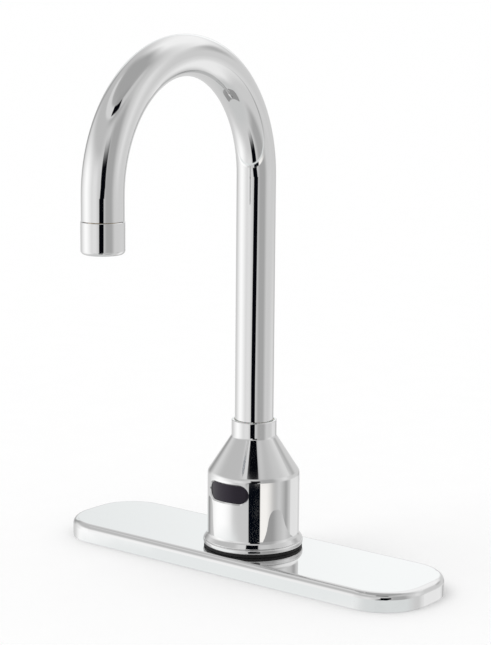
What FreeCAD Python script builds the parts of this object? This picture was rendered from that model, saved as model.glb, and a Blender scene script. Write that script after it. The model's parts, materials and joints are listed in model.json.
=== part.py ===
import FreeCAD, Part
import math
import os
from types import SimpleNamespace

import Sketcher

# A deck-mounted sensor tap: a swivelling gooseneck on a bell-shaped body with a sensor
# window, on a long cover plate, with its threaded shank and clamp below the deck.
# Millimetres. +Z is up, z = 0 is the face of the deck, the Z axis is the tap's own axis
# and the user stands on the -Y side. The spout is drawn straight ahead, towards -Y, and
# then turned by spout_rest_turn, as it stands in the photograph.

SIZES = {
    # gooseneck
    "tube_od": 24.0,            # outside of the bent tube
    "tube_wall": 1.2,
    "spout_reach": 148.5,       # tap axis to outlet axis
    "spout_top": 318.0,         # highest point of the tube's centre line
    "spout_rest_turn": 3.5,     # degrees from straight ahead
    "swing_half": 60.0,         # degrees either side of straight ahead
    # outlet
    "outlet_bottom": 212.0,
    "outlet_height": 18.5,
    "outlet_step": 0.3,         # housing beyond the tube, on the radius
    "outlet_edge_round": 2.3,
    "outlet_seam": 0.3,         # shadow gap between tube and housing
    "outlet_thread_step": 1.0,  # thread inside the tube's surface, on the radius: M22
    "outlet_thread_length": 7.0,
    "outlet_lip": 2.0,
    "outlet_lip_reach": 2.2,    # lip inside the thread
    "mouth_edge": 0.6,
    "nipple_wall": 2.2,
    "nipple_plug": 9.0,         # length brazed into the tube
    "washer_thick": 1.9,
    "screen_thick": 0.5,
    "jet_hole_r": 0.8,
    "jet_ring_one_r": 3.1,
    "jet_ring_two_r": 6.2,
    "insert_play": 0.2,
    # stem that swivels in the body
    "stem_r": 9.0,
    "stem_bore_r": 5.5,
    "stem_play": 0.05,          # radial running clearance
    "stem_length": 28.0,
    "stem_plug": 12.0,
    "stem_shoulder": 2.8,
    "stem_edge": 0.6,
    "stem_end_gap": 1.0,        # stem's end above the floor of its socket
    "seat_depth": 10.8,         # collar's top down to the seat of the stem's shoulder
    "ring_section": 1.6,        # thickness of the sealing rings as fitted
    "ring_groove_width": 2.1,
    "ring_upper_drop": 16.0,    # shoulder to upper ring
    "ring_spacing": 5.0,
    "stop_groove_depth": 1.7,
    "stop_play": 0.15,          # dog point to groove, each side
    "stop_arc_play": 1.0,       # degrees
    "stop_drop": 7.2,           # shoulder's seat down to the stop screw
    "stop_gap": 0.4,            # stop screw's own end off the stem
    # body
    "body_r": 28.7,
    "body_wall": 2.7,
    "cone_wall": 3.1,
    "flange_reach": 2.1,        # foot beyond the cylinder
    "flange_height": 0.5,
    "flare_height": 3.0,
    "flare_round": 3.0,
    "seam_round": 0.35,
    "cone_bottom": 59.3,
    "cone_top": 82.0,
    "cone_round": 4.5,
    "collar_wall": 1.25,
    "collar_top": 92.0,
    "collar_edge": 0.5,
    "collar_fillet": 2.0,
    "ledge_rise": 6.7,          # cone's lower edge up to the seat of the waterway's flange
    "bush_wall": 0.7,
    "bush_play": 0.05,
    "bush_flange": 0.8,
    "bush_set_back": 0.4,       # bush below the collar's top
    # sensor
    "window_drop": 9.3,         # cone's lower edge down to the window's middle
    "window_height": 11.4,
    "window_depth": 1.0,        # lens below the body's surface
    "window_bevel": 0.8,
    "window_play": 0.1,
    "lens_flange": 1.6,         # lens behind the opening, beyond its edge
    "lens_rim_gap": 0.05,       # lens clear of the bosses beside it
    "lens_flange_thick": 1.0,
    "lens_seal_thick": 0.4,
    "case_height": 17.0,
    "case_gap": 0.5,            # case clear of the waterway
    "case_wall": 1.4,
    "board_thick": 1.6,
    "board_edge_gap": 0.2,
    "eye_r": 2.5,
    "eye_gap": 1.58,            # eye's tip behind the lens
    "eye_offset": 7.0,
    "ear_inset": 2.56,          # ear's middle in from the body's wall, along X
    "ear_gap": 0.2,             # ear's round off the side of the case
    "ear_r": 3.4,
    "ear_thick": 1.6,
    "ear_play": 0.2,            # ears inside the body's wall
    "ear_screw_r": 1.4,
    "ear_screw_length": 6.5,
    "ear_head_r": 2.6,
    "ear_head": 1.7,
    "cable_boss_r": 3.4,
    "cable_hole_r": 2.1,
    "cable_boss_length": 4.0,
    "boss_root": 0.9,           # bosses grow this far inside the body's wall
    # waterway
    "flange_seat_r": 18.0,
    "flange_seat_thick": 5.0,
    "barrel_wall": 2.45,
    "barrel_floor": 6.2,
    "barrel_taper": 4.0,
    "tail_nose_wall": 2.5,
    "tail_nose": 8.0,
    "way_screw_inset": 2.6,
    "way_screw_r": 1.25,
    "way_screw_bite": 5.0,
    "way_head_r": 2.3,
    "way_head": 2.2,
    "tail_od": 10.0,
    "tail_wall": 1.0,
    # set screws
    "stop_screw_r": 2.5,
    "dog_r": 1.5,
    "set_screw_r": 2.0,
    "set_screw_rise": 10.6,     # foot of the shell up to the set screw
    "screw_recess": 0.4,        # set screws below the surface
    "socket_flats": 2.4,
    "socket_depth": 2.2,
    # base and cover plate
    "base_height": 3.1,
    "base_edge_round": 1.1,
    "base_reach": 0.5,          # ring beyond the foot
    "base_top_round": 0.9,
    "spigot_wall": 3.0,
    "spigot_height": 15.6,
    "spigot_play": 0.05,
    "hub_wall": 4.0,
    "hub_height": 7.6,
    "gasket_thick": 1.9,
    "gasket_inset": 0.5,
    "gasket_edge": 0.35,
    "plate_length": 269.0,
    "plate_width": 72.6,
    "plate_height": 11.4,
    "plate_corner": 29.7,
    "plate_edge_round": 3.9,
    "plate_wall": 2.2,
    "plate_boss_wall": 4.0,
    "plate_hole_gap": 3.0,      # hole round the shank, which leaves the plate its play
    "plate_shift": -2.5,        # the loose plate stands a little left of the tap
    "plate_rib": 2.0,
    "foam_width": 6.0,
    "foam_thick": 4.6,
    # shank, clamp and inlet below the deck
    "shank_r": 15.0,
    "shank_wall": 2.5,
    "shank_length": 55.0,       # below the deck's face
    "shank_edge": 0.8,
    "deck_thickness": 20.0,     # deck that the clamp is set for at rest
    "clamp_rim": 8.0,
    "clamp_play": 0.5,
    "rubber_thick": 3.0,
    "steel_thick": 2.5,
    "nut_wall": 4.0,            # thread to flats
    "nut_thick": 8.0,
    "nut_play": 0.08,
    "plug_length": 8.0,
    "plug_rim": 2.0,
    "inlet_top": -60.0,
    "inlet_flats": 17.0,
    "inlet_hex": 9.0,
    "inlet_thread_r": 7.14,
    "inlet_thread_length": 11.0,
    "inlet_socket": 7.0,
    "inlet_edge": 0.7,
}

FULL_TURN = 360.0
THROUGH = 400.0                 # longer than any wall that a cut goes through
HEX_SIDES = 6
HEX_CORNER = 1 / math.cos(math.pi / HEX_SIDES)      # corner radius over half the flats
HEX_BEVEL = math.tan(math.radians(30.0))
JETS_PER_RING = 6
WAY_SCREWS = 3
FIRST_WAY_SCREW = 90.0          # degrees: at the back, clear of the sensor
OVERSHOOT = 1.0                 # cuts run this far past the faces they open
SAME = 1e-4
ON_SURFACE = 0.01
EDGE_SAMPLES = 5

doc = FreeCAD.newDocument("sensor_tap")
sheet = doc.addObject("Spreadsheet::Sheet", "sizes")
parts = []


class Size:
    """A length or an angle that keeps its number and its formula in the sheet together."""

    def __init__(self, number, formula=None):
        self.number = float(number)
        self.formula = formula if formula is not None else repr(float(number))

    def __add__(self, other):
        other = as_size(other)
        return Size(self.number + other.number, f"({self.formula} + {other.formula})")

    def __sub__(self, other):
        other = as_size(other)
        return Size(self.number - other.number, f"({self.formula} - {other.formula})")

    def __mul__(self, other):
        other = as_size(other)
        return Size(self.number * other.number, f"({self.formula} * {other.formula})")

    def __truediv__(self, other):
        other = as_size(other)
        return Size(self.number / other.number, f"({self.formula} / {other.formula})")

    def __neg__(self):
        return Size(-self.number, f"(0 - {self.formula})")

    def __radd__(self, other):
        return as_size(other) + self

    def __rsub__(self, other):
        return as_size(other) - self

    def __rmul__(self, other):
        return as_size(other) * self


def as_size(item):
    """Numbers become sizes, and sizes stay as they are."""
    return item if isinstance(item, Size) else Size(item)


def sine(angle):
    """Sine of a size in degrees."""
    angle = as_size(angle)
    return Size(math.sin(math.radians(angle.number)), f"sin({angle.formula} * 1 deg)")


def cosine(angle):
    """Cosine of a size in degrees."""
    angle = as_size(angle)
    return Size(math.cos(math.radians(angle.number)), f"cos({angle.formula} * 1 deg)")


def root(area):
    """Square root of a size."""
    area = as_size(area)
    return Size(math.sqrt(max(0.0, area.number)), f"sqrt(max(0; {area.formula}))")


def arcsine(ratio):
    """Angle in degrees whose sine is a size."""
    ratio = as_size(ratio)
    return Size(math.degrees(math.asin(min(1.0, ratio.number))), f"(asin(min(1; {ratio.formula})) / 1 deg)")


def fill_sheet():
    """One row per driving size: its name, its number and the alias the formulas use."""
    for row, (name, number) in enumerate(SIZES.items(), start=1):
        sheet.set(f"A{row}", name)
        sheet.set(f"B{row}", str(number))
        sheet.setAlias(f"B{row}", name)
    doc.recompute()
    return SimpleNamespace(**{name: Size(number, f"sizes.{name}") for name, number in SIZES.items()})


S = fill_sheet()


# ---------------------------------------------------------------- drawing helpers

def bind(thing, prop, size):
    """Tie one property to a formula in the sheet."""
    thing.setExpression(prop, as_size(size).formula)


def new_body(label):
    """An empty body with its label."""
    body = doc.addObject("PartDesign::Body", label)
    body.Label = label
    return body


def new_sketch(body, role, offset=0.0):
    """A sketch on one of the body's own origin planes, moved along that plane's normal."""
    sketch = body.newObject("Sketcher::SketchObject", body.Name + "_sketch")
    plane = [feature for feature in body.Origin.OriginFeatures if feature.Role == role][0]
    sketch.AttachmentSupport = [(plane, "")]
    sketch.MapMode = "FlatFace"
    bind(sketch, "AttachmentOffset.Base.z", offset)
    return sketch


def pin(sketch, geometry, position, x=None, y=None):
    """Fix a point of the sketch by its distances from the sketch's origin."""
    for kind, size in (("DistanceX", x), ("DistanceY", y)):
        if size is None:
            continue
        size = as_size(size)
        index = sketch.addConstraint(Sketcher.Constraint(kind, -1, 1, geometry, position, size.number))
        bind(sketch, f"Constraints[{index}]", size)


def outline(sketch, corners, centres=None):
    """A closed outline. Side i runs from corner i to the next, and is a counter-clockwise
    arc where centres gives its centre."""
    centres = centres or {}
    first = sketch.GeometryCount
    count = len(corners)
    points = [FreeCAD.Vector(as_size(x).number, as_size(y).number, 0) for x, y in corners]
    up = FreeCAD.Vector(0, 0, 1)
    for side in range(count):
        start = points[side]
        end = points[(side + 1) % count]
        if side in centres:
            middle = FreeCAD.Vector(*[as_size(value).number for value in centres[side]], 0)
            angle_a = math.atan2(start.y - middle.y, start.x - middle.x)
            angle_b = math.atan2(end.y - middle.y, end.x - middle.x)
            circle = Part.Circle(middle, up, (start - middle).Length)
            sketch.addGeometry(Part.ArcOfCircle(circle, angle_a, angle_b))
        else:
            sketch.addGeometry(Part.LineSegment(start, end))
    for side in range(count):
        following = first + (side + 1) % count
        sketch.addConstraint(Sketcher.Constraint("Coincident", first + side, 2, following, 1))
    for side, (x, y) in enumerate(corners):
        pin(sketch, first + side, 1, x, y)
    for side, (x, y) in centres.items():
        pin(sketch, first + side, 3, x=x)
    return sketch


def circle(sketch, x, y, radius):
    """A circle with its centre and radius tied to sizes."""
    radius = as_size(radius)
    middle = FreeCAD.Vector(as_size(x).number, as_size(y).number, 0)
    shape = Part.Circle(middle, FreeCAD.Vector(0, 0, 1), radius.number)
    index = sketch.addGeometry(shape)
    pin(sketch, index, 3, x, y)
    constraint = sketch.addConstraint(Sketcher.Constraint("Radius", index, radius.number))
    bind(sketch, f"Constraints[{constraint}]", radius)
    return sketch


def ring(sketch, outer, inner, x=0.0, y=0.0):
    """Two circles with one centre."""
    circle(sketch, x, y, outer)
    circle(sketch, x, y, inner)
    return sketch


def rounded_box(sketch, length, width, corner, inset=0.0):
    """A rectangle about the sketch's origin with round corners, drawn in by inset."""
    half_x = length / 2 - inset
    half_y = width / 2 - inset
    turn_x = length / 2 - corner
    turn_y = width / 2 - corner
    corners = [(half_x, -turn_y), (half_x, turn_y), (turn_x, half_y), (-turn_x, half_y),
               (-half_x, turn_y), (-half_x, -turn_y), (-turn_x, -half_y), (turn_x, -half_y)]
    centres = {1: (turn_x, turn_y), 3: (-turn_x, turn_y),
               5: (-turn_x, -turn_y), 7: (turn_x, -turn_y)}
    return outline(sketch, corners, centres)


def stadium(sketch, width, height, y, grow=0.0):
    """A slot outline with half-round ends about (0, y), let out by grow."""
    end = (width - height) / 2
    half = height / 2 + grow
    corners = [(end, y - half), (end, y + half), (-end, y + half), (-end, y - half)]
    centres = {0: (end, y), 2: (-end, y)}
    return outline(sketch, corners, centres)


def hexagon(sketch, flats):
    """A regular hexagon about the sketch's origin, from its width across flats."""
    corner_r = flats / 2 * HEX_CORNER
    corners = []
    for side in range(HEX_SIDES):
        angle = side * FULL_TURN / HEX_SIDES
        corners.append((corner_r * math.cos(math.radians(angle)), corner_r * math.sin(math.radians(angle))))
    return outline(sketch, corners)


def ease_hexagon(body, flats, face_z, inward):
    """Turn a 30 degree bevel onto a hexagon's corners, at the face at face_z."""
    across = flats / 2
    beyond = flats / 2 * HEX_CORNER + OVERSHOOT
    depth = (beyond - across) * HEX_BEVEL * inward
    sketch = outline(new_sketch(body, "XZ_Plane"), [
        (across, face_z), (beyond, face_z), (beyond, face_z + depth)])
    feature(body, "Groove", Profile=sketch, ReferenceAxis=(sketch, ["V_Axis"]), Angle=FULL_TURN)
    doc.recompute()


def feature(body, kind, **values):
    """Add a feature to a body, set its plain properties and tie the sizes."""
    item = body.newObject("PartDesign::" + kind, body.Name + "_" + kind.lower())
    for prop, value in values.items():
        if isinstance(value, Size):
            setattr(item, prop, value.number)
            bind(item, prop, value)
        else:
            setattr(item, prop, value)
    return item


def pad(body, sketch, length, flip=False):
    """Raise a sketch along its normal, or against it."""
    return feature(body, "Pad", Profile=sketch, Length=as_size(length), Reversed=flip)


def pocket(body, sketch, length, flip=False):
    """Cut a sketch away against its normal, or along it, and make sure that it cuts."""
    before = body.Shape.Volume if body.Tip else 0.0
    item = feature(body, "Pocket", Profile=sketch, Length=as_size(length), Reversed=flip)
    doc.recompute()
    if item.Shape.Volume > before - SAME:
        raise RuntimeError(f"{item.Name} cut nothing")
    return item


def turned(label, profile):
    """A body turned about Z from its (radius, height) outline."""
    body = new_body(label)
    sketch = outline(new_sketch(body, "XZ_Plane"), profile)
    feature(body, "Revolution", Profile=sketch, ReferenceAxis=(sketch, ["V_Axis"]), Angle=FULL_TURN)
    doc.recompute()
    return body


def tube_profile(outer, inner, bottom, top):
    """The (radius, height) outline of a plain ring or tube."""
    return [(inner, bottom), (outer, bottom), (outer, top), (inner, top)]


def ring_edges(shape, radius, height):
    """Names of the circular edges about Z with this radius at this height."""
    radius = as_size(radius).number
    height = as_size(height).number
    names = []
    for index, edge in enumerate(shape.Edges, start=1):
        if edge.Curve.TypeId != "Part::GeomCircle":
            continue
        centre = edge.Curve.Center
        on_axis = math.hypot(centre.x, centre.y) < SAME
        if on_axis and abs(edge.Curve.Radius - radius) < SAME and abs(centre.z - height) < SAME:
            names.append(f"Edge{index}")
    return names


def soften(body, kind, size, *places):
    """Fillet or chamfer the circular edges of a turned body at (radius, height) places."""
    doc.recompute()
    base = body.Tip
    names = [name for place in places for name in ring_edges(base.Shape, *place)]
    if len(names) < len(places):
        raise RuntimeError(f"{body.Name} has no edge to {kind.lower()}")
    prop = "Radius" if kind == "Fillet" else "Size"
    item = feature(body, kind, Base=(base, names), **{prop: size})
    doc.recompute()
    return item


def cylinder(name, radius, length, x=0.0, y=0.0, z=0.0, along="Z"):
    """A cylinder from (x, y, z) along +Z or +Y."""
    item = doc.addObject("Part::Cylinder", name)
    bind(item, "Radius", radius)
    bind(item, "Height", length)
    if along == "Y":
        item.Placement.Rotation = FreeCAD.Rotation(FreeCAD.Vector(1, 0, 0), -90)
    place(item, x, y, z)
    return item


def box(name, low, high):
    """A box from its lowest to its highest corner."""
    item = doc.addObject("Part::Box", name)
    for prop, start, end in zip(("Length", "Width", "Height"), low, high):
        bind(item, prop, end - start)
    place(item, *low)
    return item


def place(item, x=0.0, y=0.0, z=0.0):
    """Tie the item's position to sizes."""
    for axis, size in zip("xyz", (x, y, z)):
        bind(item, f"Placement.Base.{axis}", size)


def join(name, *items):
    """One shape from several."""
    item = doc.addObject("Part::MultiFuse", name)
    item.Shapes = list(items)
    return item


def group(name, *items):
    """Several separate solids in one piece's file."""
    item = doc.addObject("Part::Compound", name)
    item.Links = list(items)
    return item


def cut(name, base, tool):
    """The base without the tool."""
    item = doc.addObject("Part::Cut", name)
    item.Base = base
    item.Tool = tool
    return item


def overlap(name, base, tool):
    """What the two have in common."""
    item = doc.addObject("Part::Common", name)
    item.Base = base
    item.Tool = tool
    return item


def keep(item, label):
    """Hand a finished piece in under its name."""
    item.Label = label
    parts.append(item)
    return item


def turn_with_spout(item, reach=0.0):
    """Turn a spout piece, drawn on the Z axis, about the tap's axis to its place."""
    bind(item, "Placement.Base.x", reach * sine(S.spout_rest_turn))
    bind(item, "Placement.Base.y", -reach * cosine(S.spout_rest_turn))
    item.Placement.Rotation = FreeCAD.Rotation(FreeCAD.Vector(0, 0, 1), S.spout_rest_turn.number)
    bind(item, "Placement.Rotation.Angle", S.spout_rest_turn)
    return item


# ---------------------------------------------------------------- sizes that follow

TUBE_R = S.tube_od / 2
TUBE_BORE_R = TUBE_R - S.tube_wall
BEND_R = S.spout_reach / 2
BEND_Z = S.spout_top - BEND_R

SEAM_Z = S.outlet_bottom + S.outlet_height
OUTLET_R = TUBE_R + S.outlet_step
THREAD_R = TUBE_R - S.outlet_thread_step
MOUTH_R = THREAD_R - S.outlet_lip_reach
NIPPLE_BORE_R = THREAD_R - S.nipple_wall
NECK_BOTTOM = SEAM_Z - S.outlet_thread_length
SCREEN_TOP = NECK_BOTTOM - S.washer_thick
SCREEN_BOTTOM = SCREEN_TOP - S.screen_thick
LIP_TOP = S.outlet_bottom + S.outlet_lip

BORE_R = TUBE_R + S.bush_play + S.bush_wall
COLLAR_R = BORE_R + S.collar_wall
INNER_R = S.body_r - S.body_wall
CONE_SLOPE = (S.body_r - COLLAR_R) / (S.cone_top - S.cone_bottom)
BUSH_TOP = S.collar_top - S.bush_set_back
LEDGE_Z = S.cone_bottom + S.ledge_rise

STEM_SEAT_Z = S.collar_top - S.seat_depth
STEM_SHOULDER_TOP = STEM_SEAT_Z + S.stem_shoulder
STEM_BOTTOM = STEM_SEAT_Z - S.stem_length
SOCKET_TOP = STEM_SEAT_Z - S.bush_flange
SOCKET_R = S.stem_r + S.stem_play
SOCKET_BOTTOM = STEM_BOTTOM - S.stem_end_gap
RING_UPPER_Z = STEM_SEAT_Z - S.ring_upper_drop
RING_LOWER_Z = RING_UPPER_Z - S.ring_spacing
RING_FLOOR_R = S.stem_r - S.ring_section
STOP_Z = STEM_SEAT_Z - S.stop_drop
STOP_FLOOR_R = S.stem_r - S.stop_groove_depth

TAIL_R = S.tail_od / 2
TAIL_BORE_R = TAIL_R - S.tail_wall
BARREL_R = SOCKET_R + S.barrel_wall
BARREL_BOTTOM = SOCKET_BOTTOM - S.barrel_floor
TAPER_BOTTOM = BARREL_BOTTOM - S.barrel_taper
WAY_BOTTOM = TAPER_BOTTOM - S.tail_nose
WAY_FLANGE_BOTTOM = LEDGE_Z - S.flange_seat_thick

SHANK_BORE_R = S.shank_r - S.shank_wall
SHANK_BOTTOM = -S.shank_length
BASE_BOTTOM = S.plate_height + S.gasket_thick
SHELL_BOTTOM = BASE_BOTTOM + S.base_height
FLANGE_R = S.body_r + S.flange_reach
FLANGE_TOP = SHELL_BOTTOM + S.flange_height
FLARE_TOP = FLANGE_TOP + S.flare_height
BASE_R = FLANGE_R + S.base_reach
GASKET_R = BASE_R - S.gasket_inset
SPIGOT_R = INNER_R - S.spigot_play
SPIGOT_TOP = SHELL_BOTTOM + S.spigot_height
HUB_R = S.shank_r + S.hub_wall
HUB_TOP = SHELL_BOTTOM + S.hub_height
SET_SCREW_Z = SHELL_BOTTOM + S.set_screw_rise
PLATE_HOLE_R = S.shank_r + S.plate_hole_gap
PLATE_DEPTH = S.plate_height - S.plate_wall

WINDOW_Z = S.cone_bottom - S.window_drop
LENS_R = S.body_r - S.window_depth
LENS_SEAT_R = INNER_R - S.lens_seal_thick
LENS_BACK_R = LENS_SEAT_R - S.lens_flange_thick
CASE_BACK = BARREL_R + S.case_gap
CASE_LOW = WINDOW_Z - S.case_height / 2
CASE_HIGH = WINDOW_Z + S.case_height / 2
EAR_Y = -(CASE_BACK + S.ear_thick)
EAR_X = root(INNER_R * INNER_R - EAR_Y * EAR_Y) - S.ear_inset
CASE_HALF = EAR_X - S.ear_r - S.ear_gap
WINDOW_WIDTH = 2 * (EAR_X - S.ear_r - S.lens_rim_gap - S.lens_flange)


# ---------------------------------------------------------------- gooseneck and stem

def make_spout_tube():
    """The bent tube: riser, half circle and drop, swept as one ring along one path."""
    body = new_body("spout_tube")
    path = new_sketch(body, "YZ_Plane")
    start = FreeCAD.Vector(0, STEM_SHOULDER_TOP.number, 0)
    riser_top = FreeCAD.Vector(0, BEND_Z.number, 0)
    drop_top = FreeCAD.Vector(-S.spout_reach.number, BEND_Z.number, 0)
    end = FreeCAD.Vector(-S.spout_reach.number, SEAM_Z.number, 0)
    middle = FreeCAD.Vector(-BEND_R.number, BEND_Z.number, 0)
    bend = Part.Circle(middle, FreeCAD.Vector(0, 0, 1), BEND_R.number)
    path.addGeometry(Part.LineSegment(start, riser_top))
    path.addGeometry(Part.ArcOfCircle(bend, 0.0, math.pi))
    path.addGeometry(Part.LineSegment(drop_top, end))
    path.addConstraint(Sketcher.Constraint("Coincident", 0, 2, 1, 1))
    path.addConstraint(Sketcher.Constraint("Coincident", 1, 2, 2, 1))
    pin(path, 0, 1, 0.0, STEM_SHOULDER_TOP)
    pin(path, 0, 2, 0.0, BEND_Z)
    pin(path, 2, 1, -S.spout_reach, BEND_Z)
    pin(path, 2, 2, -S.spout_reach, SEAM_Z)
    pin(path, 1, 3, y=BEND_Z)
    section = ring(new_sketch(body, "XY_Plane", STEM_SHOULDER_TOP), TUBE_R, TUBE_BORE_R)
    feature(body, "AdditivePipe", Profile=section, Spine=(path, ["Edge1", "Edge2", "Edge3"]))
    keep(turn_with_spout(body), "spout_tube")


def make_spout_stem():
    """The brass stem brazed into the tube: shoulder, two ring grooves and the part-turn
    groove whose ends stop the swing."""
    body = turned("spout_stem", [
        (S.stem_bore_r, STEM_BOTTOM), (S.stem_r, STEM_BOTTOM), (S.stem_r, STEM_SEAT_Z),
        (TUBE_R, STEM_SEAT_Z), (TUBE_R, STEM_SHOULDER_TOP), (TUBE_BORE_R, STEM_SHOULDER_TOP),
        (TUBE_BORE_R, STEM_SHOULDER_TOP + S.stem_plug), (S.stem_bore_r, STEM_SHOULDER_TOP + S.stem_plug)])
    for middle in (RING_UPPER_Z, RING_LOWER_Z):
        half = S.ring_groove_width / 2
        sketch = outline(new_sketch(body, "XZ_Plane"),
                         tube_profile(S.stem_r + OVERSHOOT, RING_FLOOR_R, middle - half, middle + half))
        feature(body, "Groove", Profile=sketch, ReferenceAxis=(sketch, ["V_Axis"]), Angle=FULL_TURN)
        doc.recompute()
    half = S.dog_r + S.stop_play
    arc = 2 * (S.swing_half + arcsine(S.dog_r / STOP_FLOOR_R) + S.stop_arc_play)
    sketch = outline(new_sketch(body, "YZ_Plane"),
                     tube_profile(S.stem_r + OVERSHOOT, STOP_FLOOR_R, STOP_Z - half, STOP_Z + half))
    feature(body, "Groove", Profile=sketch, ReferenceAxis=(sketch, ["V_Axis"]), Angle=arc, Midplane=True)
    soften(body, "Chamfer", S.stem_edge, (S.stem_r, STEM_BOTTOM))
    keep(turn_with_spout(body), "spout_stem")


def make_stem_ring(label, middle):
    """A sealing ring seated on the floor of its groove, squeezed to the socket's bore."""
    item = doc.addObject("Part::Torus", label)
    bind(item, "Radius1", RING_FLOOR_R + S.ring_section / 2)
    bind(item, "Radius2", S.ring_section / 2)
    place(item, z=middle)
    keep(item, label)


# ---------------------------------------------------------------- outlet

def make_outlet():
    """Nipple brazed into the tube's end, housing screwed on it, and what the housing
    clamps: washer, screen and the plastic insert that makes the jet."""
    nipple = turned("outlet_nipple", [
        (NIPPLE_BORE_R, NECK_BOTTOM), (THREAD_R, NECK_BOTTOM), (THREAD_R, SEAM_Z - S.outlet_seam / 2),
        (TUBE_R - S.outlet_seam, SEAM_Z - S.outlet_seam / 2), (TUBE_R - S.outlet_seam, SEAM_Z),
        (TUBE_BORE_R, SEAM_Z), (TUBE_BORE_R, SEAM_Z + S.nipple_plug),
        (NIPPLE_BORE_R, SEAM_Z + S.nipple_plug)])
    keep(turn_with_spout(nipple, S.spout_reach), "outlet_nipple")

    housing_top = SEAM_Z - S.outlet_seam
    housing = turned("outlet_housing", [
        (MOUTH_R, S.outlet_bottom), (OUTLET_R, S.outlet_bottom), (OUTLET_R, housing_top),
        (THREAD_R, housing_top), (THREAD_R, LIP_TOP), (MOUTH_R, LIP_TOP)])
    soften(housing, "Fillet", S.outlet_edge_round, (OUTLET_R, S.outlet_bottom))
    soften(housing, "Chamfer", S.outlet_seam, (OUTLET_R, housing_top))
    soften(housing, "Chamfer", S.mouth_edge, (MOUTH_R, S.outlet_bottom))
    keep(turn_with_spout(housing, S.spout_reach), "outlet_housing")

    insert_r = THREAD_R - S.insert_play
    insert = turned("flow_insert", [
        (0.0, LIP_TOP), (insert_r, LIP_TOP), (insert_r, SCREEN_BOTTOM), (0.0, SCREEN_BOTTOM)])
    holes = new_sketch(insert, "XY_Plane", LIP_TOP)
    circle(holes, 0.0, 0.0, S.jet_hole_r)
    for ring_r, count in ((S.jet_ring_one_r, JETS_PER_RING), (S.jet_ring_two_r, 2 * JETS_PER_RING)):
        for jet in range(count):
            angle = math.radians(jet * FULL_TURN / count)
            circle(holes, ring_r * math.cos(angle), ring_r * math.sin(angle), S.jet_hole_r)
    pocket(insert, holes, SCREEN_BOTTOM - LIP_TOP, flip=True)
    keep(turn_with_spout(insert, S.spout_reach), "flow_insert")

    screen = cylinder("flow_screen", insert_r, S.screen_thick, z=SCREEN_BOTTOM)
    keep(turn_with_spout(screen, S.spout_reach), "flow_screen")

    washer = turned("outlet_washer", tube_profile(insert_r, NIPPLE_BORE_R, SCREEN_TOP, NECK_BOTTOM))
    keep(turn_with_spout(washer, S.spout_reach), "outlet_washer")


# ---------------------------------------------------------------- body

def cone_inside(height):
    """Inside radius of the body's cone at a height."""
    return cone_outside(height) - S.cone_wall


def cone_outside(height):
    """Outside radius of the body's cone at a height."""
    return S.body_r - (height - S.cone_bottom) * CONE_SLOPE


def make_body_shell():
    """The bell: collar, cone, cylinder and flared foot, with the bevelled sensor opening,
    two inner bosses for the sensor and two set-screw holes at the back."""
    cone_meets_wall = S.cone_bottom + (S.body_wall - S.cone_wall) / CONE_SLOPE
    body = turned("body_bell", [
        (INNER_R, SHELL_BOTTOM), (FLANGE_R, SHELL_BOTTOM), (FLANGE_R, FLANGE_TOP),
        (S.body_r, FLARE_TOP), (S.body_r, S.cone_bottom), (COLLAR_R, S.cone_top),
        (COLLAR_R, S.collar_top), (BORE_R, S.collar_top), (BORE_R, LEDGE_Z),
        (cone_inside(LEDGE_Z), LEDGE_Z), (INNER_R, cone_meets_wall)])
    soften(body, "Fillet", S.flare_round, (S.body_r, FLARE_TOP))
    soften(body, "Fillet", S.cone_round, (S.body_r, S.cone_bottom))
    soften(body, "Fillet", S.collar_fillet, (COLLAR_R, S.cone_top))
    soften(body, "Fillet", S.seam_round, (FLANGE_R, SHELL_BOTTOM), (FLANGE_R, FLANGE_TOP))
    soften(body, "Fillet", S.collar_edge, (COLLAR_R, S.collar_top))
    opening = stadium(new_sketch(body, "XZ_Plane"), WINDOW_WIDTH, S.window_height, WINDOW_Z)
    pocket(body, opening, S.body_r + OVERSHOOT, flip=True)
    bevel_window(body)
    screw_hole = circle(new_sketch(body, "XZ_Plane"), 0.0, STOP_Z, S.stop_screw_r)
    pocket(body, screw_hole, S.body_r + OVERSHOOT)
    set_hole = circle(new_sketch(body, "XZ_Plane"), 0.0, SET_SCREW_Z, S.set_screw_r)
    pocket(body, set_hole, FLANGE_R + OVERSHOOT)
    way_holes = new_sketch(body, "XY_Plane", LEDGE_Z)
    for x, y in screw_places():
        circle(way_holes, x, y, S.way_screw_r)
    pocket(body, way_holes, S.way_screw_bite, flip=True)

    posts = join("boss_posts", *[
        cylinder(f"boss_post_{side}", S.ear_r, S.body_r + EAR_Y, sign * EAR_X, -S.body_r, WINDOW_Z, "Y")
        for side, sign in (("left", -1), ("right", 1))])
    reach = cylinder("boss_reach", INNER_R + S.boss_root, S.case_height, z=CASE_LOW)
    bosses = overlap("bosses", posts, reach)
    drills = join("boss_drills", *[
        cylinder(f"boss_drill_{side}", S.ear_screw_r, S.ear_screw_length - S.ear_thick, sign * EAR_X,
                 EAR_Y - S.ear_screw_length + S.ear_thick, WINDOW_Z, "Y")
        for side, sign in (("left", -1), ("right", 1))])
    keep(cut("body_shell", join("bell_with_bosses", body, bosses), drills), "body_shell")


def bevel_window(body):
    """Chamfer the edges where the sensor opening meets the outside of the cylinder."""
    doc.recompute()
    base = body.Tip
    names = []
    for index, edge in enumerate(base.Shape.Edges, start=1):
        points = edge.discretize(EDGE_SAMPLES)
        on_outside = all(abs(math.hypot(p.x, p.y) - S.body_r.number) < ON_SURFACE for p in points)
        in_front = all(p.y < 0 for p in points)
        half = S.window_height.number / 2 + ON_SURFACE
        at_window = all(abs(p.z - WINDOW_Z.number) < half for p in points)
        if on_outside and in_front and at_window:
            names.append(f"Edge{index}")
    feature(body, "Chamfer", Base=(base, names), Size=S.window_bevel)
    doc.recompute()


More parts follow.
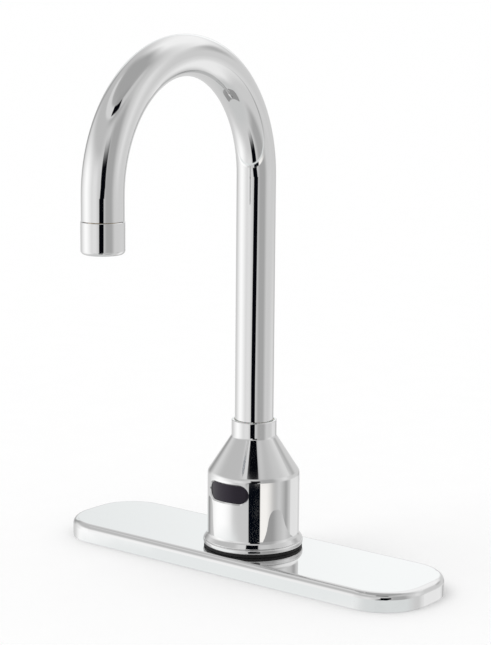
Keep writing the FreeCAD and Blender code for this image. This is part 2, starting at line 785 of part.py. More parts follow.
def make_base():
    """The chromed ring below the body, with the spigot inside it and the threaded hub, and
    the black gasket that shows under it."""
    body = turned("base_ring", [
        (S.shank_r, BASE_BOTTOM), (BASE_R, BASE_BOTTOM), (BASE_R, SHELL_BOTTOM),
        (SPIGOT_R, SHELL_BOTTOM), (SPIGOT_R, SPIGOT_TOP), (SPIGOT_R - S.spigot_wall, SPIGOT_TOP),
        (SPIGOT_R - S.spigot_wall, SHELL_BOTTOM), (HUB_R, SHELL_BOTTOM), (HUB_R, HUB_TOP),
        (S.shank_r, HUB_TOP)])
    soften(body, "Fillet", S.base_edge_round, (BASE_R, BASE_BOTTOM))
    soften(body, "Fillet", S.base_top_round, (BASE_R, SHELL_BOTTOM))
    seat = circle(new_sketch(body, "XZ_Plane"), 0.0, SET_SCREW_Z, S.set_screw_r)
    pocket(body, seat, BASE_R + OVERSHOOT)
    keep(body, "base_ring")

    gasket = turned("body_gasket", tube_profile(GASKET_R, PLATE_HOLE_R, S.plate_height, BASE_BOTTOM))
    soften(gasket, "Chamfer", S.gasket_edge, (GASKET_R, S.plate_height))
    keep(gasket, "body_gasket")


# ---------------------------------------------------------------- waterway

def make_waterway():
    """The brass core: the socket that the stem turns in, the flange screwed up to the
    body's ledge and the nose that takes the tail pipe."""
    nose_r = TAIL_R + S.tail_nose_wall
    body = turned("waterway", [
        (TAIL_R, WAY_BOTTOM), (nose_r, WAY_BOTTOM), (nose_r, TAPER_BOTTOM), (BARREL_R, BARREL_BOTTOM),
        (BARREL_R, WAY_FLANGE_BOTTOM), (S.flange_seat_r, WAY_FLANGE_BOTTOM), (S.flange_seat_r, LEDGE_Z),
        (BORE_R, LEDGE_Z), (BORE_R, SOCKET_TOP), (SOCKET_R, SOCKET_TOP), (SOCKET_R, SOCKET_BOTTOM),
        (TAIL_BORE_R, SOCKET_BOTTOM), (TAIL_BORE_R, TAPER_BOTTOM), (TAIL_R, TAPER_BOTTOM)])
    stop = circle(new_sketch(body, "XZ_Plane"), 0.0, STOP_Z, S.stop_screw_r)
    pocket(body, stop, S.body_r)
    holes = new_sketch(body, "XY_Plane", LEDGE_Z)
    for x, y in screw_places():
        circle(holes, x, y, S.way_screw_r)
    pocket(body, holes, S.flange_seat_thick)
    keep(body, "waterway")

    screws = []
    screw_length = S.flange_seat_thick + S.way_screw_bite
    for number, (x, y) in enumerate(screw_places(), start=1):
        shank = cylinder(f"way_screw_shank_{number}", S.way_screw_r, screw_length, x, y, WAY_FLANGE_BOTTOM)
        head = cylinder(f"way_screw_head_{number}", S.way_head_r, S.way_head, x, y,
                        WAY_FLANGE_BOTTOM - S.way_head)
        screws.append(join(f"way_screw_{number}", shank, head))
    keep(group("waterway_screws", *screws), "waterway_screws")

    tail = turned("tail_pipe", tube_profile(TAIL_R, TAIL_BORE_R, S.inlet_top - S.inlet_socket, TAPER_BOTTOM))
    keep(tail, "tail_pipe")


def screw_places():
    """Where the flange screws stand, clear of the sensor at the front."""
    circle_r = S.flange_seat_r - S.way_screw_inset
    places = []
    for number in range(WAY_SCREWS):
        angle = math.radians(FIRST_WAY_SCREW + number * FULL_TURN / WAY_SCREWS)
        places.append((circle_r * math.cos(angle), circle_r * math.sin(angle)))
    return places


def make_swivel_bush():
    """The plastic sleeve between collar and tube, with the flange the stem rides on."""
    body = turned("swivel_bush", [
        (SOCKET_R, SOCKET_TOP), (BORE_R, SOCKET_TOP), (BORE_R, BUSH_TOP),
        (TUBE_R + S.bush_play, BUSH_TOP), (TUBE_R + S.bush_play, STEM_SEAT_Z), (SOCKET_R, STEM_SEAT_Z)])
    keep(body, "swivel_bush")


def make_set_screw(label, radius, inner_y, outer_y, height, dog=None):
    """A headless screw along Y with a hexagon socket, and a dog point where it has one."""
    body = new_body(label)
    pad(body, circle(new_sketch(body, "XY_Plane"), 0.0, 0.0, radius), outer_y - inner_y)
    doc.recompute()
    if dog is not None:
        dog_radius, dog_length = dog
        pad(body, circle(new_sketch(body, "XY_Plane"), 0.0, 0.0, dog_radius), dog_length, flip=True)
        doc.recompute()
    socket = hexagon(new_sketch(body, "XY_Plane", outer_y - inner_y), S.socket_flats)
    pocket(body, socket, S.socket_depth)
    body.Placement.Rotation = FreeCAD.Rotation(FreeCAD.Vector(1, 0, 0), -90)
    place(body, 0.0, inner_y, height)
    keep(body, label)


def make_set_screws():
    """The screw whose point stops the spout, and the one that holds the body on its base."""
    stop_end = cone_outside(STOP_Z + S.stop_screw_r) - S.screw_recess
    make_set_screw("spout_stop_screw", S.stop_screw_r, S.stem_r + S.stop_gap, stop_end, STOP_Z,
                   (S.dog_r, S.stop_groove_depth + S.stop_gap - S.stop_play))
    make_set_screw("body_set_screw", S.set_screw_r, SPIGOT_R - S.spigot_wall / 2,
                   S.body_r - S.screw_recess, SET_SCREW_Z)


# ---------------------------------------------------------------- sensor

def curved_slab(name, outer, inner, grow):
    """A piece of cylinder wall with the window's outline, let out by grow."""
    body = new_body(name + "_outline")
    sketch = stadium(new_sketch(body, "XZ_Plane"), WINDOW_WIDTH, S.window_height, WINDOW_Z, grow)
    pad(body, sketch, S.body_r)
    low = WINDOW_Z - S.case_height
    wall = cut(name + "_wall", cylinder(name + "_outer", outer, 2 * S.case_height, z=low),
               cylinder(name + "_inner", inner, 2 * S.case_height, z=low))
    return overlap(name, wall, body)


def make_sensor():
    """Lens, seal, case, board and the two eyes behind the window."""
    nose = curved_slab("lens_nose", LENS_R, LENS_BACK_R, -S.window_play)
    rim = curved_slab("lens_rim", LENS_SEAT_R, LENS_BACK_R, S.lens_flange)
    keep(join("sensor_window", nose, rim), "sensor_window")

    seal = curved_slab("seal_slab", INNER_R, LENS_SEAT_R, S.lens_flange)
    passage = curved_slab("seal_passage", S.body_r, LENS_BACK_R, 0.0)
    keep(cut("window_gasket", seal, passage), "window_gasket")

    make_sensor_case()

    board_back = -(CASE_BACK + S.case_wall)
    board_front = board_back - S.board_thick
    half_x = CASE_HALF - S.case_wall - S.board_edge_gap
    half_z = S.case_height / 2 - S.case_wall - S.board_edge_gap
    board = box("sensor_board", (-half_x, board_front, WINDOW_Z - half_z),
                (half_x, board_back, WINDOW_Z + half_z))
    keep(board, "sensor_board")

    lens_back = root(LENS_BACK_R * LENS_BACK_R - S.eye_offset * S.eye_offset)
    dome_y = -(lens_back - S.eye_gap - S.eye_r)
    for label, side in (("emitter_led", -1), ("receiver_diode", 1)):
        barrel = cylinder(label + "_barrel", S.eye_r, board_front - dome_y, side * S.eye_offset, dome_y,
                          WINDOW_Z, "Y")
        dome = doc.addObject("Part::Sphere", label + "_dome")
        dome.Angle1 = 0
        dome.Placement = FreeCAD.Placement(FreeCAD.Vector(), FreeCAD.Rotation(FreeCAD.Vector(1, 0, 0), 90))
        bind(dome, "Radius", S.eye_r)
        place(dome, side * S.eye_offset, dome_y, WINDOW_Z)
        keep(join(label, barrel, dome), label)


def make_sensor_case():
    """The moulded case: open to the lens, with two screw ears and a cable outlet below."""
    half_x = CASE_HALF
    front = -S.body_r
    block = box("case_block", (-half_x, front, CASE_LOW), (half_x, -CASE_BACK, CASE_HIGH))
    hollow = box("case_hollow", (-half_x + S.case_wall, front - OVERSHOOT, CASE_LOW + S.case_wall),
                 (half_x - S.case_wall, -(CASE_BACK + S.case_wall), CASE_HIGH - S.case_wall))
    ear_bar = box("ear_bar", (-EAR_X, EAR_Y, WINDOW_Z - S.ear_r), (EAR_X, -CASE_BACK, WINDOW_Z + S.ear_r))
    ears = join("case_ears", ear_bar, *[
        cylinder(f"ear_{side}", S.ear_r, S.ear_thick, sign * EAR_X, EAR_Y, WINDOW_Z, "Y")
        for side, sign in (("left", -1), ("right", 1))])
    outlet_y = -(CASE_BACK + S.case_wall + S.cable_boss_r)
    outlet = cylinder("cable_boss", S.cable_boss_r, S.cable_boss_length, 0.0, outlet_y,
                      CASE_LOW - S.cable_boss_length)
    low = WINDOW_Z - S.case_height
    curved_block = overlap("curved_block", block,
                           cylinder("case_fit", LENS_BACK_R, 2 * S.case_height, z=low))
    curved_ears = overlap("curved_ears", ears,
                          cylinder("ear_fit", INNER_R - S.ear_play, 2 * S.case_height, z=low))
    solid = join("case_mass", curved_block, curved_ears, outlet)
    cable_way = cylinder("cable_way", S.cable_hole_r, S.cable_boss_length + S.case_wall + 2 * OVERSHOOT,
                         0.0, outlet_y, CASE_LOW - S.cable_boss_length - OVERSHOOT)
    ear_holes = [cylinder(f"ear_hole_{side}", S.ear_screw_r, S.ear_thick + 2 * OVERSHOOT, sign * EAR_X,
                          EAR_Y - OVERSHOOT, WINDOW_Z, "Y") for side, sign in (("left", -1), ("right", 1))]
    keep(cut("sensor_case", solid, join("case_cuts", hollow, cable_way, *ear_holes)), "sensor_case")

    screws = []
    for side, sign in (("left", -1), ("right", 1)):
        tip = EAR_Y - S.ear_screw_length + S.ear_thick
        shank = cylinder(f"ear_screw_shank_{side}", S.ear_screw_r, S.ear_screw_length, sign * EAR_X, tip,
                         WINDOW_Z, "Y")
        head = cylinder(f"ear_screw_head_{side}", S.ear_head_r, S.ear_head, sign * EAR_X, -CASE_BACK,
                        WINDOW_Z, "Y")
        screws.append(join(f"ear_screw_{side}", shank, head))
    keep(group("sensor_screws", *screws), "sensor_screws")


# ---------------------------------------------------------------- cover plate

def make_deck_plate():
    """The long cover plate: round-cornered, round-edged, hollow underneath, with a ribbed
    boss round the hole that the shank passes through."""
    body = new_body("deck_plate")
    pad(body, rounded_box(new_sketch(body, "XY_Plane"), S.plate_length, S.plate_width, S.plate_corner),
        S.plate_height)
    doc.recompute()
    top = S.plate_height.number
    names = [f"Edge{index}" for index, edge in enumerate(body.Shape.Edges, start=1)
             if all(abs(vertex.Z - top) < SAME for vertex in edge.Vertexes)]
    feature(body, "Fillet", Base=(body.Tip, names), Radius=S.plate_edge_round)
    doc.recompute()
    hollow = rounded_box(new_sketch(body, "XY_Plane"), S.plate_length, S.plate_width, S.plate_corner,
                         S.plate_wall)
    pocket(body, hollow, PLATE_DEPTH, flip=True)
    boss = circle(new_sketch(body, "XY_Plane"), 0.0, 0.0, PLATE_HOLE_R + S.plate_boss_wall)
    pad(body, boss, PLATE_DEPTH)
    for across, along in ((S.plate_rib, S.plate_width - S.plate_wall),
                          (S.plate_length - 2 * S.foam_width, S.plate_rib)):
        rib = outline(new_sketch(body, "XY_Plane", S.foam_thick), [
            (-across / 2, -along / 2), (across / 2, -along / 2),
            (across / 2, along / 2), (-across / 2, along / 2)])
        pad(body, rib, PLATE_DEPTH - S.foam_thick)
    doc.recompute()
    hole = circle(new_sketch(body, "XY_Plane"), 0.0, 0.0, PLATE_HOLE_R)
    pocket(body, hole, S.plate_height + OVERSHOOT, flip=True)
    place(body, S.plate_shift)
    keep(body, "deck_plate")


def make_plate_gasket():
    """The foam strip that lines the plate's rim and seals it to the deck."""
    body = new_body("plate_gasket")
    rim = rounded_box(new_sketch(body, "XY_Plane"), S.plate_length, S.plate_width, S.plate_corner,
                      S.plate_wall)
    rounded_box(rim, S.plate_length, S.plate_width, S.plate_corner, S.plate_wall + S.foam_width)
    pad(body, rim, S.foam_thick)
    place(body, S.plate_shift)
    keep(body, "plate_gasket")


# ---------------------------------------------------------------- below the deck

def make_shank():
    """The hollow threaded shank, screwed into the base's hub."""
    body = turned("mounting_shank", tube_profile(S.shank_r, SHANK_BORE_R, SHANK_BOTTOM, HUB_TOP))
    soften(body, "Chamfer", S.shank_edge, (S.shank_r, SHANK_BOTTOM))
    keep(body, "mounting_shank")


def make_clamp():
    """Rubber washer, steel washer and nut, set against the underside of the deck."""
    rubber_top = -S.deck_thickness
    steel_top = rubber_top - S.rubber_thick
    nut_top = steel_top - S.steel_thick
    hole_r = S.shank_r + S.clamp_play
    clamp_r = S.shank_r + S.clamp_rim
    flats = 2 * (S.shank_r + S.nut_wall)
    keep(turned("rubber_washer", tube_profile(clamp_r, hole_r, steel_top, rubber_top)), "rubber_washer")
    steel = turned("steel_washer", tube_profile(clamp_r, hole_r, nut_top, steel_top))
    keep(steel, "steel_washer")

    nut = new_body("mounting_nut")
    pad(nut, hexagon(new_sketch(nut, "XY_Plane", nut_top - S.nut_thick), flats), S.nut_thick)
    doc.recompute()
    hole = circle(new_sketch(nut, "XY_Plane", nut_top - S.nut_thick), 0.0, 0.0, S.shank_r + S.nut_play)
    pocket(nut, hole, S.nut_thick, flip=True)
    ease_hexagon(nut, flats, nut_top, -1)
    ease_hexagon(nut, flats, nut_top - S.nut_thick, 1)
    keep(nut, "mounting_nut")


def make_inlet():
    """The rubber plug in the shank's end, with its cable hole, and the inlet fitting on
    the tail pipe."""
    rim_r = S.shank_r - S.shank_edge
    plug = turned("cable_plug", [
        (TAIL_R, SHANK_BOTTOM - S.plug_rim), (rim_r, SHANK_BOTTOM - S.plug_rim),
        (rim_r, SHANK_BOTTOM), (SHANK_BORE_R, SHANK_BOTTOM),
        (SHANK_BORE_R, SHANK_BOTTOM + S.plug_length), (TAIL_R, SHANK_BOTTOM + S.plug_length)])
    hole = circle(new_sketch(plug, "XY_Plane", SHANK_BOTTOM - S.plug_rim), (TAIL_R + SHANK_BORE_R) / 2, 0.0,
                  S.cable_hole_r)
    pocket(plug, hole, S.plug_length + S.plug_rim, flip=True)
    keep(plug, "cable_plug")

    hex_bottom = S.inlet_top - S.inlet_hex
    end = hex_bottom - S.inlet_thread_length
    body = new_body("inlet_fitting")
    pad(body, hexagon(new_sketch(body, "XY_Plane", hex_bottom), S.inlet_flats), S.inlet_hex)
    pad(body, circle(new_sketch(body, "XY_Plane", end), 0.0, 0.0, S.inlet_thread_r), S.inlet_thread_length)
    doc.recompute()
    soften(body, "Chamfer", S.inlet_edge, (S.inlet_thread_r, end))
    pocket(body, circle(new_sketch(body, "XY_Plane", S.inlet_top), 0.0, 0.0, TAIL_R), S.inlet_socket)
    pocket(body, circle(new_sketch(body, "XY_Plane", S.inlet_top), 0.0, 0.0, TAIL_BORE_R), THROUGH)
    ease_hexagon(body, S.inlet_flats, S.inlet_top, -1)
    ease_hexagon(body, S.inlet_flats, hex_bottom, 1)
    keep(body, "inlet_fitting")


# ---------------------------------------------------------------- check and export

def check_and_export():
    """Stop on any failed feature or bad shape, then write one file per piece."""
    doc.recompute()
    for item in doc.Objects:
        if "Invalid" in item.State or "Error" in item.State:
            raise RuntimeError(f"{item.Name}: {item.State}")
    labels = [item.Label for item in parts]
    if len(set(labels)) != len(labels):
        raise RuntimeError("two pieces share a name")
    os.makedirs("parts", exist_ok=True)
    for item in parts:
        shape = item.Shape
        if shape.isNull() or not shape.isValid() or not shape.Solids:
            raise RuntimeError(f"{item.Label} has no valid solid")
        shape.exportStep(f"parts/{item.Label}.step")
        extent = shape.BoundBox
        print(f"{item.Label:18s} solids {len(shape.Solids)}  volume {shape.Volume:10.1f}  "
              f"z {extent.ZMin:8.2f} to {extent.ZMax:8.2f}")


make_spout_tube()
make_spout_stem()
make_stem_ring("stem_ring_upper", RING_UPPER_Z)
make_stem_ring("stem_ring_lower", RING_LOWER_Z)
make_outlet()
make_body_shell()
make_base()
make_waterway()
make_swivel_bush()
make_set_screws()
make_sensor()
make_deck_plate()
make_plate_gasket()
make_shank()
make_clamp()
make_inlet()
check_and_export()
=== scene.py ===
"""Sensor tap: the looks of its chromed pieces, its hidden works and its studio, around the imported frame."""

import json
import math

import bpy
import numpy as np
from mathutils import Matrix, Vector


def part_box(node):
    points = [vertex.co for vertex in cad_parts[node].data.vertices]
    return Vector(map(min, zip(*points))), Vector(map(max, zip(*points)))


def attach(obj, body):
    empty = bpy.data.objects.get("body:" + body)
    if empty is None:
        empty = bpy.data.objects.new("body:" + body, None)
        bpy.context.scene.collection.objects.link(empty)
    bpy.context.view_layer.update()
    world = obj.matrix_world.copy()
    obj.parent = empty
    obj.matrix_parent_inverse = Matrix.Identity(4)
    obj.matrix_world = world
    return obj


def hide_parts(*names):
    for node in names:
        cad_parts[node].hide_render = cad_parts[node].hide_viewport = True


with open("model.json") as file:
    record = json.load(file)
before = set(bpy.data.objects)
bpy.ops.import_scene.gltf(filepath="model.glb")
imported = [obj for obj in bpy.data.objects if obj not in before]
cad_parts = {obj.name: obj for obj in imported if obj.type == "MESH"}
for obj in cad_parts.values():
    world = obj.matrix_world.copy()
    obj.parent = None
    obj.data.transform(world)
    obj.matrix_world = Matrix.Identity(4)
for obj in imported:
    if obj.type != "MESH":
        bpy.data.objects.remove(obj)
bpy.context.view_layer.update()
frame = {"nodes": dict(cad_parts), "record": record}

bl_info = {
    "name": "Sensor Tap",
    "version": (1, 0, 0),
    "blender": (4, 5, 0),
    "location": "View3D > Sidebar > Sensor Tap",
    "description": "Dresses the pieces of a sensor tap and sets up its studio",
    "category": "Object",
}

MM = 0.001


def linear(code, alpha=None):
    """Turns an sRGB hex code such as #E4E6E8 into linear red, green and blue, with alpha if one is given."""
    values = [int(code[i:i + 2], 16) / 255 for i in (1, 3, 5)]
    values = [v / 12.92 if v <= 0.04045 else ((v + 0.055) / 1.055) ** 2.4 for v in values]
    return tuple(values) if alpha is None else (*values, alpha)


# ---------------------------------------------------------------- sizes and colours

def tint(name, description, code):
    """A colour that the user may change, given as an sRGB hex code."""
    return bpy.props.FloatVectorProperty(name=name, description=description, subtype="COLOR",
                                         size=4, min=0, max=1, default=linear(code, 1.0))


def length(name, description, millimetres):
    """A length that the user may change, given in millimetres and kept in metres."""
    return bpy.props.FloatProperty(name=name, description=description, subtype="DISTANCE",
                                   unit="LENGTH", default=millimetres * MM, precision=5)


class TapColours(bpy.types.PropertyGroup):
    """Base colours of the tap's finishes."""

    chrome: tint("Chrome", "Colour of the bright chrome plate", "#E6E6E6")
    lens: tint("Lens", "Colour of the smoked window", "#0D0B11")
    lens_sheen: tint("Lens sheen", "Tint of the window's highlight", "#F4E6FF")
    rubber: tint("Rubber", "Colour of the gaskets and sealing rings", "#151516")
    plastic: tint("Black plastic", "Colour of the sensor's case", "#1E1F21")
    board: tint("Board", "Colour of the circuit board's solder mask", "#0E4A2A")
    epoxy: tint("Epoxy", "Colour of the emitter's water-clear epoxy", "#DCE6F2")
    steel: tint("Steel", "Colour of the stainless steel", "#C2C0BC")
    oxide: tint("Black oxide", "Colour of the blackened screws", "#3A3A3D")
    brass: tint("Brass", "Colour of the machined brass", "#DDBB72")
    copper: tint("Copper", "Colour of the drawn copper pipe", "#DB9A74")
    acetal: tint("Acetal", "Colour of the swivel bush", "#ECEAE3")
    foam: tint("Foam", "Colour of the plate's foam gasket", "#3B3C3E")
    insert: tint("Flow insert", "Colour of the flow insert's plastic", "#C9CDD2")
    floor: tint("Floor", "Colour of the studio floor", "#FFFFFF")


class TapSizes(bpy.types.PropertyGroup):
    """Sizes of the threads and the gauze."""

    shank_pitch: length("Shank pitch", "Pitch of the shank's M30 thread", 1.5)
    inlet_pitch: length("Inlet pitch", "Pitch of the inlet's 9/16 in thread, 24 to the inch", 1.058)
    outlet_pitch: length("Outlet pitch", "Pitch of the outlet's M22 thread", 1.0)
    thread_depth: bpy.props.FloatProperty(name="Thread depth", default=0.61, min=0.1, max=0.8,
                                          description="Depth of a thread, as a share of its pitch")
    gauze_spacing: length("Gauze spacing", "Between neighbouring wires of the gauze", 0.9)
    gauze_wire: length("Gauze wire", "Diameter of the gauze's wire", 0.22)
    gauze_sway: length("Gauze sway", "Rise of a wire over the one that it crosses", 0.12)


class TapStudio(bpy.types.PropertyGroup):
    """Where the camera stands and how bright the studio is."""

    lens: bpy.props.FloatProperty(name="Lens", description="Focal length of the camera",
                                  unit="CAMERA", default=106.7708)
    turn: bpy.props.FloatProperty(name="Turn", description="Camera's turn from the tap's front",
                                  unit="ROTATION", default=math.radians(38.0028))
    rise: bpy.props.FloatProperty(name="Rise", description="Camera's angle above the deck",
                                  unit="ROTATION", default=math.radians(10.1925))
    roll: bpy.props.FloatProperty(name="Roll", description="Camera's turn about its own line of sight",
                                  unit="ROTATION", default=math.radians(0.4702))
    distance: length("Distance", "From the camera to the point it looks at", 1182.1923)
    aim_x: length("Aim X", "Point that the camera looks at, across the deck", -7.4201)
    aim_z: length("Aim Z", "Point that the camera looks at, above the deck", 151.8646)
    floor_reach: length("Floor reach", "From the tap to the floor's edge", 40000)
    dome: bpy.props.FloatProperty(name="Dome", description="Strength of the even light on all sides",
                                  default=0.85, min=0, max=2)
    sun: bpy.props.FloatProperty(name="Sun", description="Soft light from above, which gives the shadow",
                                 default=0.6, min=0, max=5)
    cards: bpy.props.FloatProperty(name="Cards", description="Strength of the world that chrome mirrors",
                                   default=1.27, min=0, max=4)


# ---------------------------------------------------------------- materials

def add(tree, kind, inputs=None, **settings):
    """Adds a node with its settings, and links or sets its inputs by name or number."""
    node = tree.nodes.new(kind)
    for key, value in settings.items():
        setattr(node, key, value)
    for key, value in (inputs or {}).items():
        if isinstance(value, bpy.types.NodeSocket):
            tree.links.new(value, node.inputs[key])
        else:
            node.inputs[key].default_value = value
    return node


def begin(name, stretch=(1.0, 1.0, 1.0), **constants):
    """A new material with its constants on their own sockets, and the piece's own coordinates."""
    material = bpy.data.materials.new(name)
    material.use_nodes = True
    tree = material.node_tree
    shader = tree.nodes["Principled BSDF"]
    for key, value in constants.items():
        shader.inputs[key.replace("_", " ")].default_value = value
    place = add(tree, "ShaderNodeTexCoord").outputs["Object"]
    place = add(tree, "ShaderNodeMapping", {"Vector": place, "Scale": stretch}).outputs["Vector"]
    return material, tree, shader, place


def shade(code, share):
    """A colour with its red, green and blue brought down to a share of what they are."""
    return (*(value * share for value in code[:3]), 1.0)


def polished_chrome(colours):
    """Chrome plate on polished brass: a neutral mirror, left faintly wavy by polishing, with a thin haze."""
    material, tree, shader, place = begin("polished_chrome", Base_Color=colours.chrome, Metallic=1.0)
    wave = add(tree, "ShaderNodeTexNoise", {"Vector": place, "Scale": 1 / (22 * MM), "Detail": 1.0})
    haze = add(tree, "ShaderNodeTexNoise", {"Vector": place, "Scale": 1 / (9 * MM), "Detail": 4.0})
    rough = add(tree, "ShaderNodeMapRange", {"Value": haze.outputs["Fac"], "From Min": 0.35, "From Max": 0.7,
                                             "To Min": 0.025, "To Max": 0.055})
    bump = add(tree, "ShaderNodeBump", {"Height": wave.outputs["Fac"], "Distance": 0.03 * MM})
    tree.links.new(rough.outputs["Result"], shader.inputs["Roughness"])
    tree.links.new(bump.outputs["Normal"], shader.inputs["Normal"])
    return material


def smoked_polycarbonate(colours):
    """Moulded infrared window: glossy and nearly black, its soft highlight a little violet."""
    material, tree, shader, place = begin("smoked_polycarbonate", Base_Color=colours.lens, IOR=1.585,
                                          Specular_IOR_Level=0.3, Specular_Tint=colours.lens_sheen)
    flow = add(tree, "ShaderNodeTexNoise", {"Vector": place, "Scale": 1 / (5 * MM), "Detail": 2.0})
    rough = add(tree, "ShaderNodeMapRange", {"Value": flow.outputs["Fac"], "From Min": 0.3, "From Max": 0.7,
                                             "To Min": 0.1, "To Max": 0.16})
    tone = add(tree, "ShaderNodeMix", {0: flow.outputs["Fac"], 6: shade(colours.lens, 0.7), 7: colours.lens},
               data_type="RGBA")
    tree.links.new(tone.outputs[2], shader.inputs["Base Color"])
    tree.links.new(rough.outputs["Result"], shader.inputs["Roughness"])
    return material


def moulded_rubber(colours):
    """Black nitrile rubber from a fine-blasted mould: dull, with a trace of grey bloom."""
    material, tree, shader, place = begin("moulded_rubber", IOR=1.52, Specular_IOR_Level=0.35)
    # The mould's grain is 0.05 mm, drawn at 0.3 mm so that it shows.
    grain = add(tree, "ShaderNodeTexNoise", {"Vector": place, "Scale": 1 / (0.3 * MM), "Detail": 3.0})
    bloom = add(tree, "ShaderNodeTexNoise", {"Vector": place, "Scale": 1 / (7 * MM), "Detail": 3.0})
    tone = add(tree, "ShaderNodeMix", {0: bloom.outputs["Fac"], 6: shade(colours.rubber, 0.75),
                                       7: shade(colours.rubber, 1.6)}, data_type="RGBA")
    rough = add(tree, "ShaderNodeMapRange", {"Value": bloom.outputs["Fac"], "From Min": 0.3, "From Max": 0.7,
                                             "To Min": 0.5, "To Max": 0.7})
    bump = add(tree, "ShaderNodeBump", {"Height": grain.outputs["Fac"], "Distance": 0.02 * MM})
    tree.links.new(tone.outputs[2], shader.inputs["Base Color"])
    tree.links.new(rough.outputs["Result"], shader.inputs["Roughness"])
    tree.links.new(bump.outputs["Normal"], shader.inputs["Normal"])
    return material


def spark_textured_abs(colours):
    """Black ABS from a spark-eroded mould: an even satin pebble, with painted shade down in its pits."""
    material, tree, shader, place = begin("spark_textured_abs", IOR=1.54)
    # A spark texture's pits are 0.1 mm across, drawn at 0.35 mm so that they show.
    pits = add(tree, "ShaderNodeTexVoronoi", {"Vector": place, "Scale": 1 / (0.35 * MM)}, feature="SMOOTH_F1")
    # Painted shade: the colour is darkest down in each pit and palest on the ridges between, following the
    # bump.
    tone = add(tree, "ShaderNodeMix", {0: pits.outputs["Distance"], 6: shade(colours.plastic, 0.8),
                                       7: shade(colours.plastic, 1.25)}, data_type="RGBA")
    rough = add(tree, "ShaderNodeMapRange", {"Value": pits.outputs["Distance"], "From Max": 0.6,
                                             "To Min": 0.38, "To Max": 0.52})
    bump = add(tree, "ShaderNodeBump", {"Height": pits.outputs["Distance"], "Distance": 0.03 * MM})
    tree.links.new(tone.outputs[2], shader.inputs["Base Color"])
    tree.links.new(rough.outputs["Result"], shader.inputs["Roughness"])
    tree.links.new(bump.outputs["Normal"], shader.inputs["Normal"])
    return material


def solder_mask(colours):
    """Green solder mask printed over etched copper: glossy, with paler raised tracks on a 1.27 mm pitch."""
    material, tree, shader, place = begin("solder_mask", IOR=1.5)
    turned = add(tree, "ShaderNodeMapping", {"Vector": place, "Rotation": (math.pi / 2, 0.0, 0.0)})
    tracks = add(tree, "ShaderNodeTexBrick", {"Vector": turned.outputs["Vector"], "Scale": 1 / (5.08 * MM),
                                              "Color1": shade(colours.board, 1.0),
                                              "Color2": shade(colours.board, 0.85),
                                              "Mortar": shade(colours.board, 2.2), "Mortar Size": 0.02,
                                              "Row Height": 0.25, "Brick Width": 1.0})
    bump = add(tree, "ShaderNodeBump", {"Height": tracks.outputs["Fac"], "Distance": 0.035 * MM})
    speck = add(tree, "ShaderNodeTexNoise", {"Vector": place, "Scale": 1 / (1.5 * MM), "Detail": 3.0})
    rough = add(tree, "ShaderNodeMapRange", {"Value": speck.outputs["Fac"], "To Min": 0.18, "To Max": 0.32})
    tree.links.new(tracks.outputs["Color"], shader.inputs["Base Color"])
    tree.links.new(rough.outputs["Result"], shader.inputs["Roughness"])
    tree.links.new(bump.outputs["Normal"], shader.inputs["Normal"])
    return material


def cast_epoxy(name, colour, clear):
    """Epoxy cast round a chip: smooth as its mould cup, with faint flow lines."""
    material, tree, shader, place = begin(name, Base_Color=colour, IOR=1.53, Transmission_Weight=clear)
    flow = add(tree, "ShaderNodeTexNoise", {"Vector": place, "Scale": 1 / (2 * MM), "Detail": 2.0,
                                            "Distortion": 1.0})
    rough = add(tree, "ShaderNodeMapRange", {"Value": flow.outputs["Fac"], "To Min": 0.02, "To Max": 0.1})
    bump = add(tree, "ShaderNodeBump", {"Height": flow.outputs["Fac"], "Distance": 0.01 * MM})
    tree.links.new(rough.outputs["Result"], shader.inputs["Roughness"])
    tree.links.new(bump.outputs["Normal"], shader.inputs["Normal"])
    return material


def clear_epoxy(colours):
    """Water-clear epoxy of the infrared emitter."""
    return cast_epoxy("clear_epoxy", colours.epoxy, 0.9)


def daylight_epoxy(colours):
    """Epoxy of the receiver, dyed so dark that it passes only infrared."""
    return cast_epoxy("daylight_epoxy", colours.lens, 0.15)


def worked_metal(name, colour, stretch, line, low, high, dull):
    """Bare metal with the lines of its making, and a slow change in how dull it has become.

    The lines are noise that is drawn out along the way the metal was worked.
    """
    material, tree, shader, place = begin(name, stretch, Metallic=1.0)
    lines = add(tree, "ShaderNodeTexNoise", {"Vector": place, "Scale": 1 / line, "Detail": 2.0})
    patches = add(tree, "ShaderNodeTexNoise", {"Vector": place, "Scale": 0.06 / line, "Detail": 4.0})
    tone = add(tree, "ShaderNodeMix", {0: patches.outputs["Fac"], 6: shade(colour, 1.0),
                                       7: shade(colour, dull)}, data_type="RGBA")
    both = add(tree, "ShaderNodeMath", {0: lines.outputs["Fac"], 1: patches.outputs["Fac"]},
               operation="MULTIPLY")
    rough = add(tree, "ShaderNodeMapRange", {"Value": both.outputs[0], "From Min": 0.12, "From Max": 0.4,
                                             "To Min": low, "To Max": high})
    bump = add(tree, "ShaderNodeBump", {"Height": lines.outputs["Fac"], "Distance": 0.012 * MM})
    tree.links.new(tone.outputs[2], shader.inputs["Base Color"])
    tree.links.new(rough.outputs["Result"], shader.inputs["Roughness"])
    tree.links.new(bump.outputs["Normal"], shader.inputs["Normal"])
    return material


def rolled_stainless(colours):
    """Stainless sheet and wire: a grey satin with the rolls' straight lines, 0.2 mm apart."""
    return worked_metal("rolled_stainless", colours.steel, (0.06, 1.0, 1.0), 0.2 * MM, 0.2, 0.38, 0.85)


def woven_stainless(colours):
    """Drawn stainless wire, woven into gauze: bright, with fine lines along it."""
    return worked_metal("woven_stainless", colours.steel, (0.3, 0.3, 1.0), 0.12 * MM, 0.22, 0.35, 0.8)


def black_oxide_steel(colours):
    """Steel screws blackened in a hot oxide bath: near black, oily satin, browner where it is thin."""
    return worked_metal("black_oxide_steel", colours.oxide, (1.0, 1.0, 1.0), 0.5 * MM, 0.3, 0.48, 0.6)


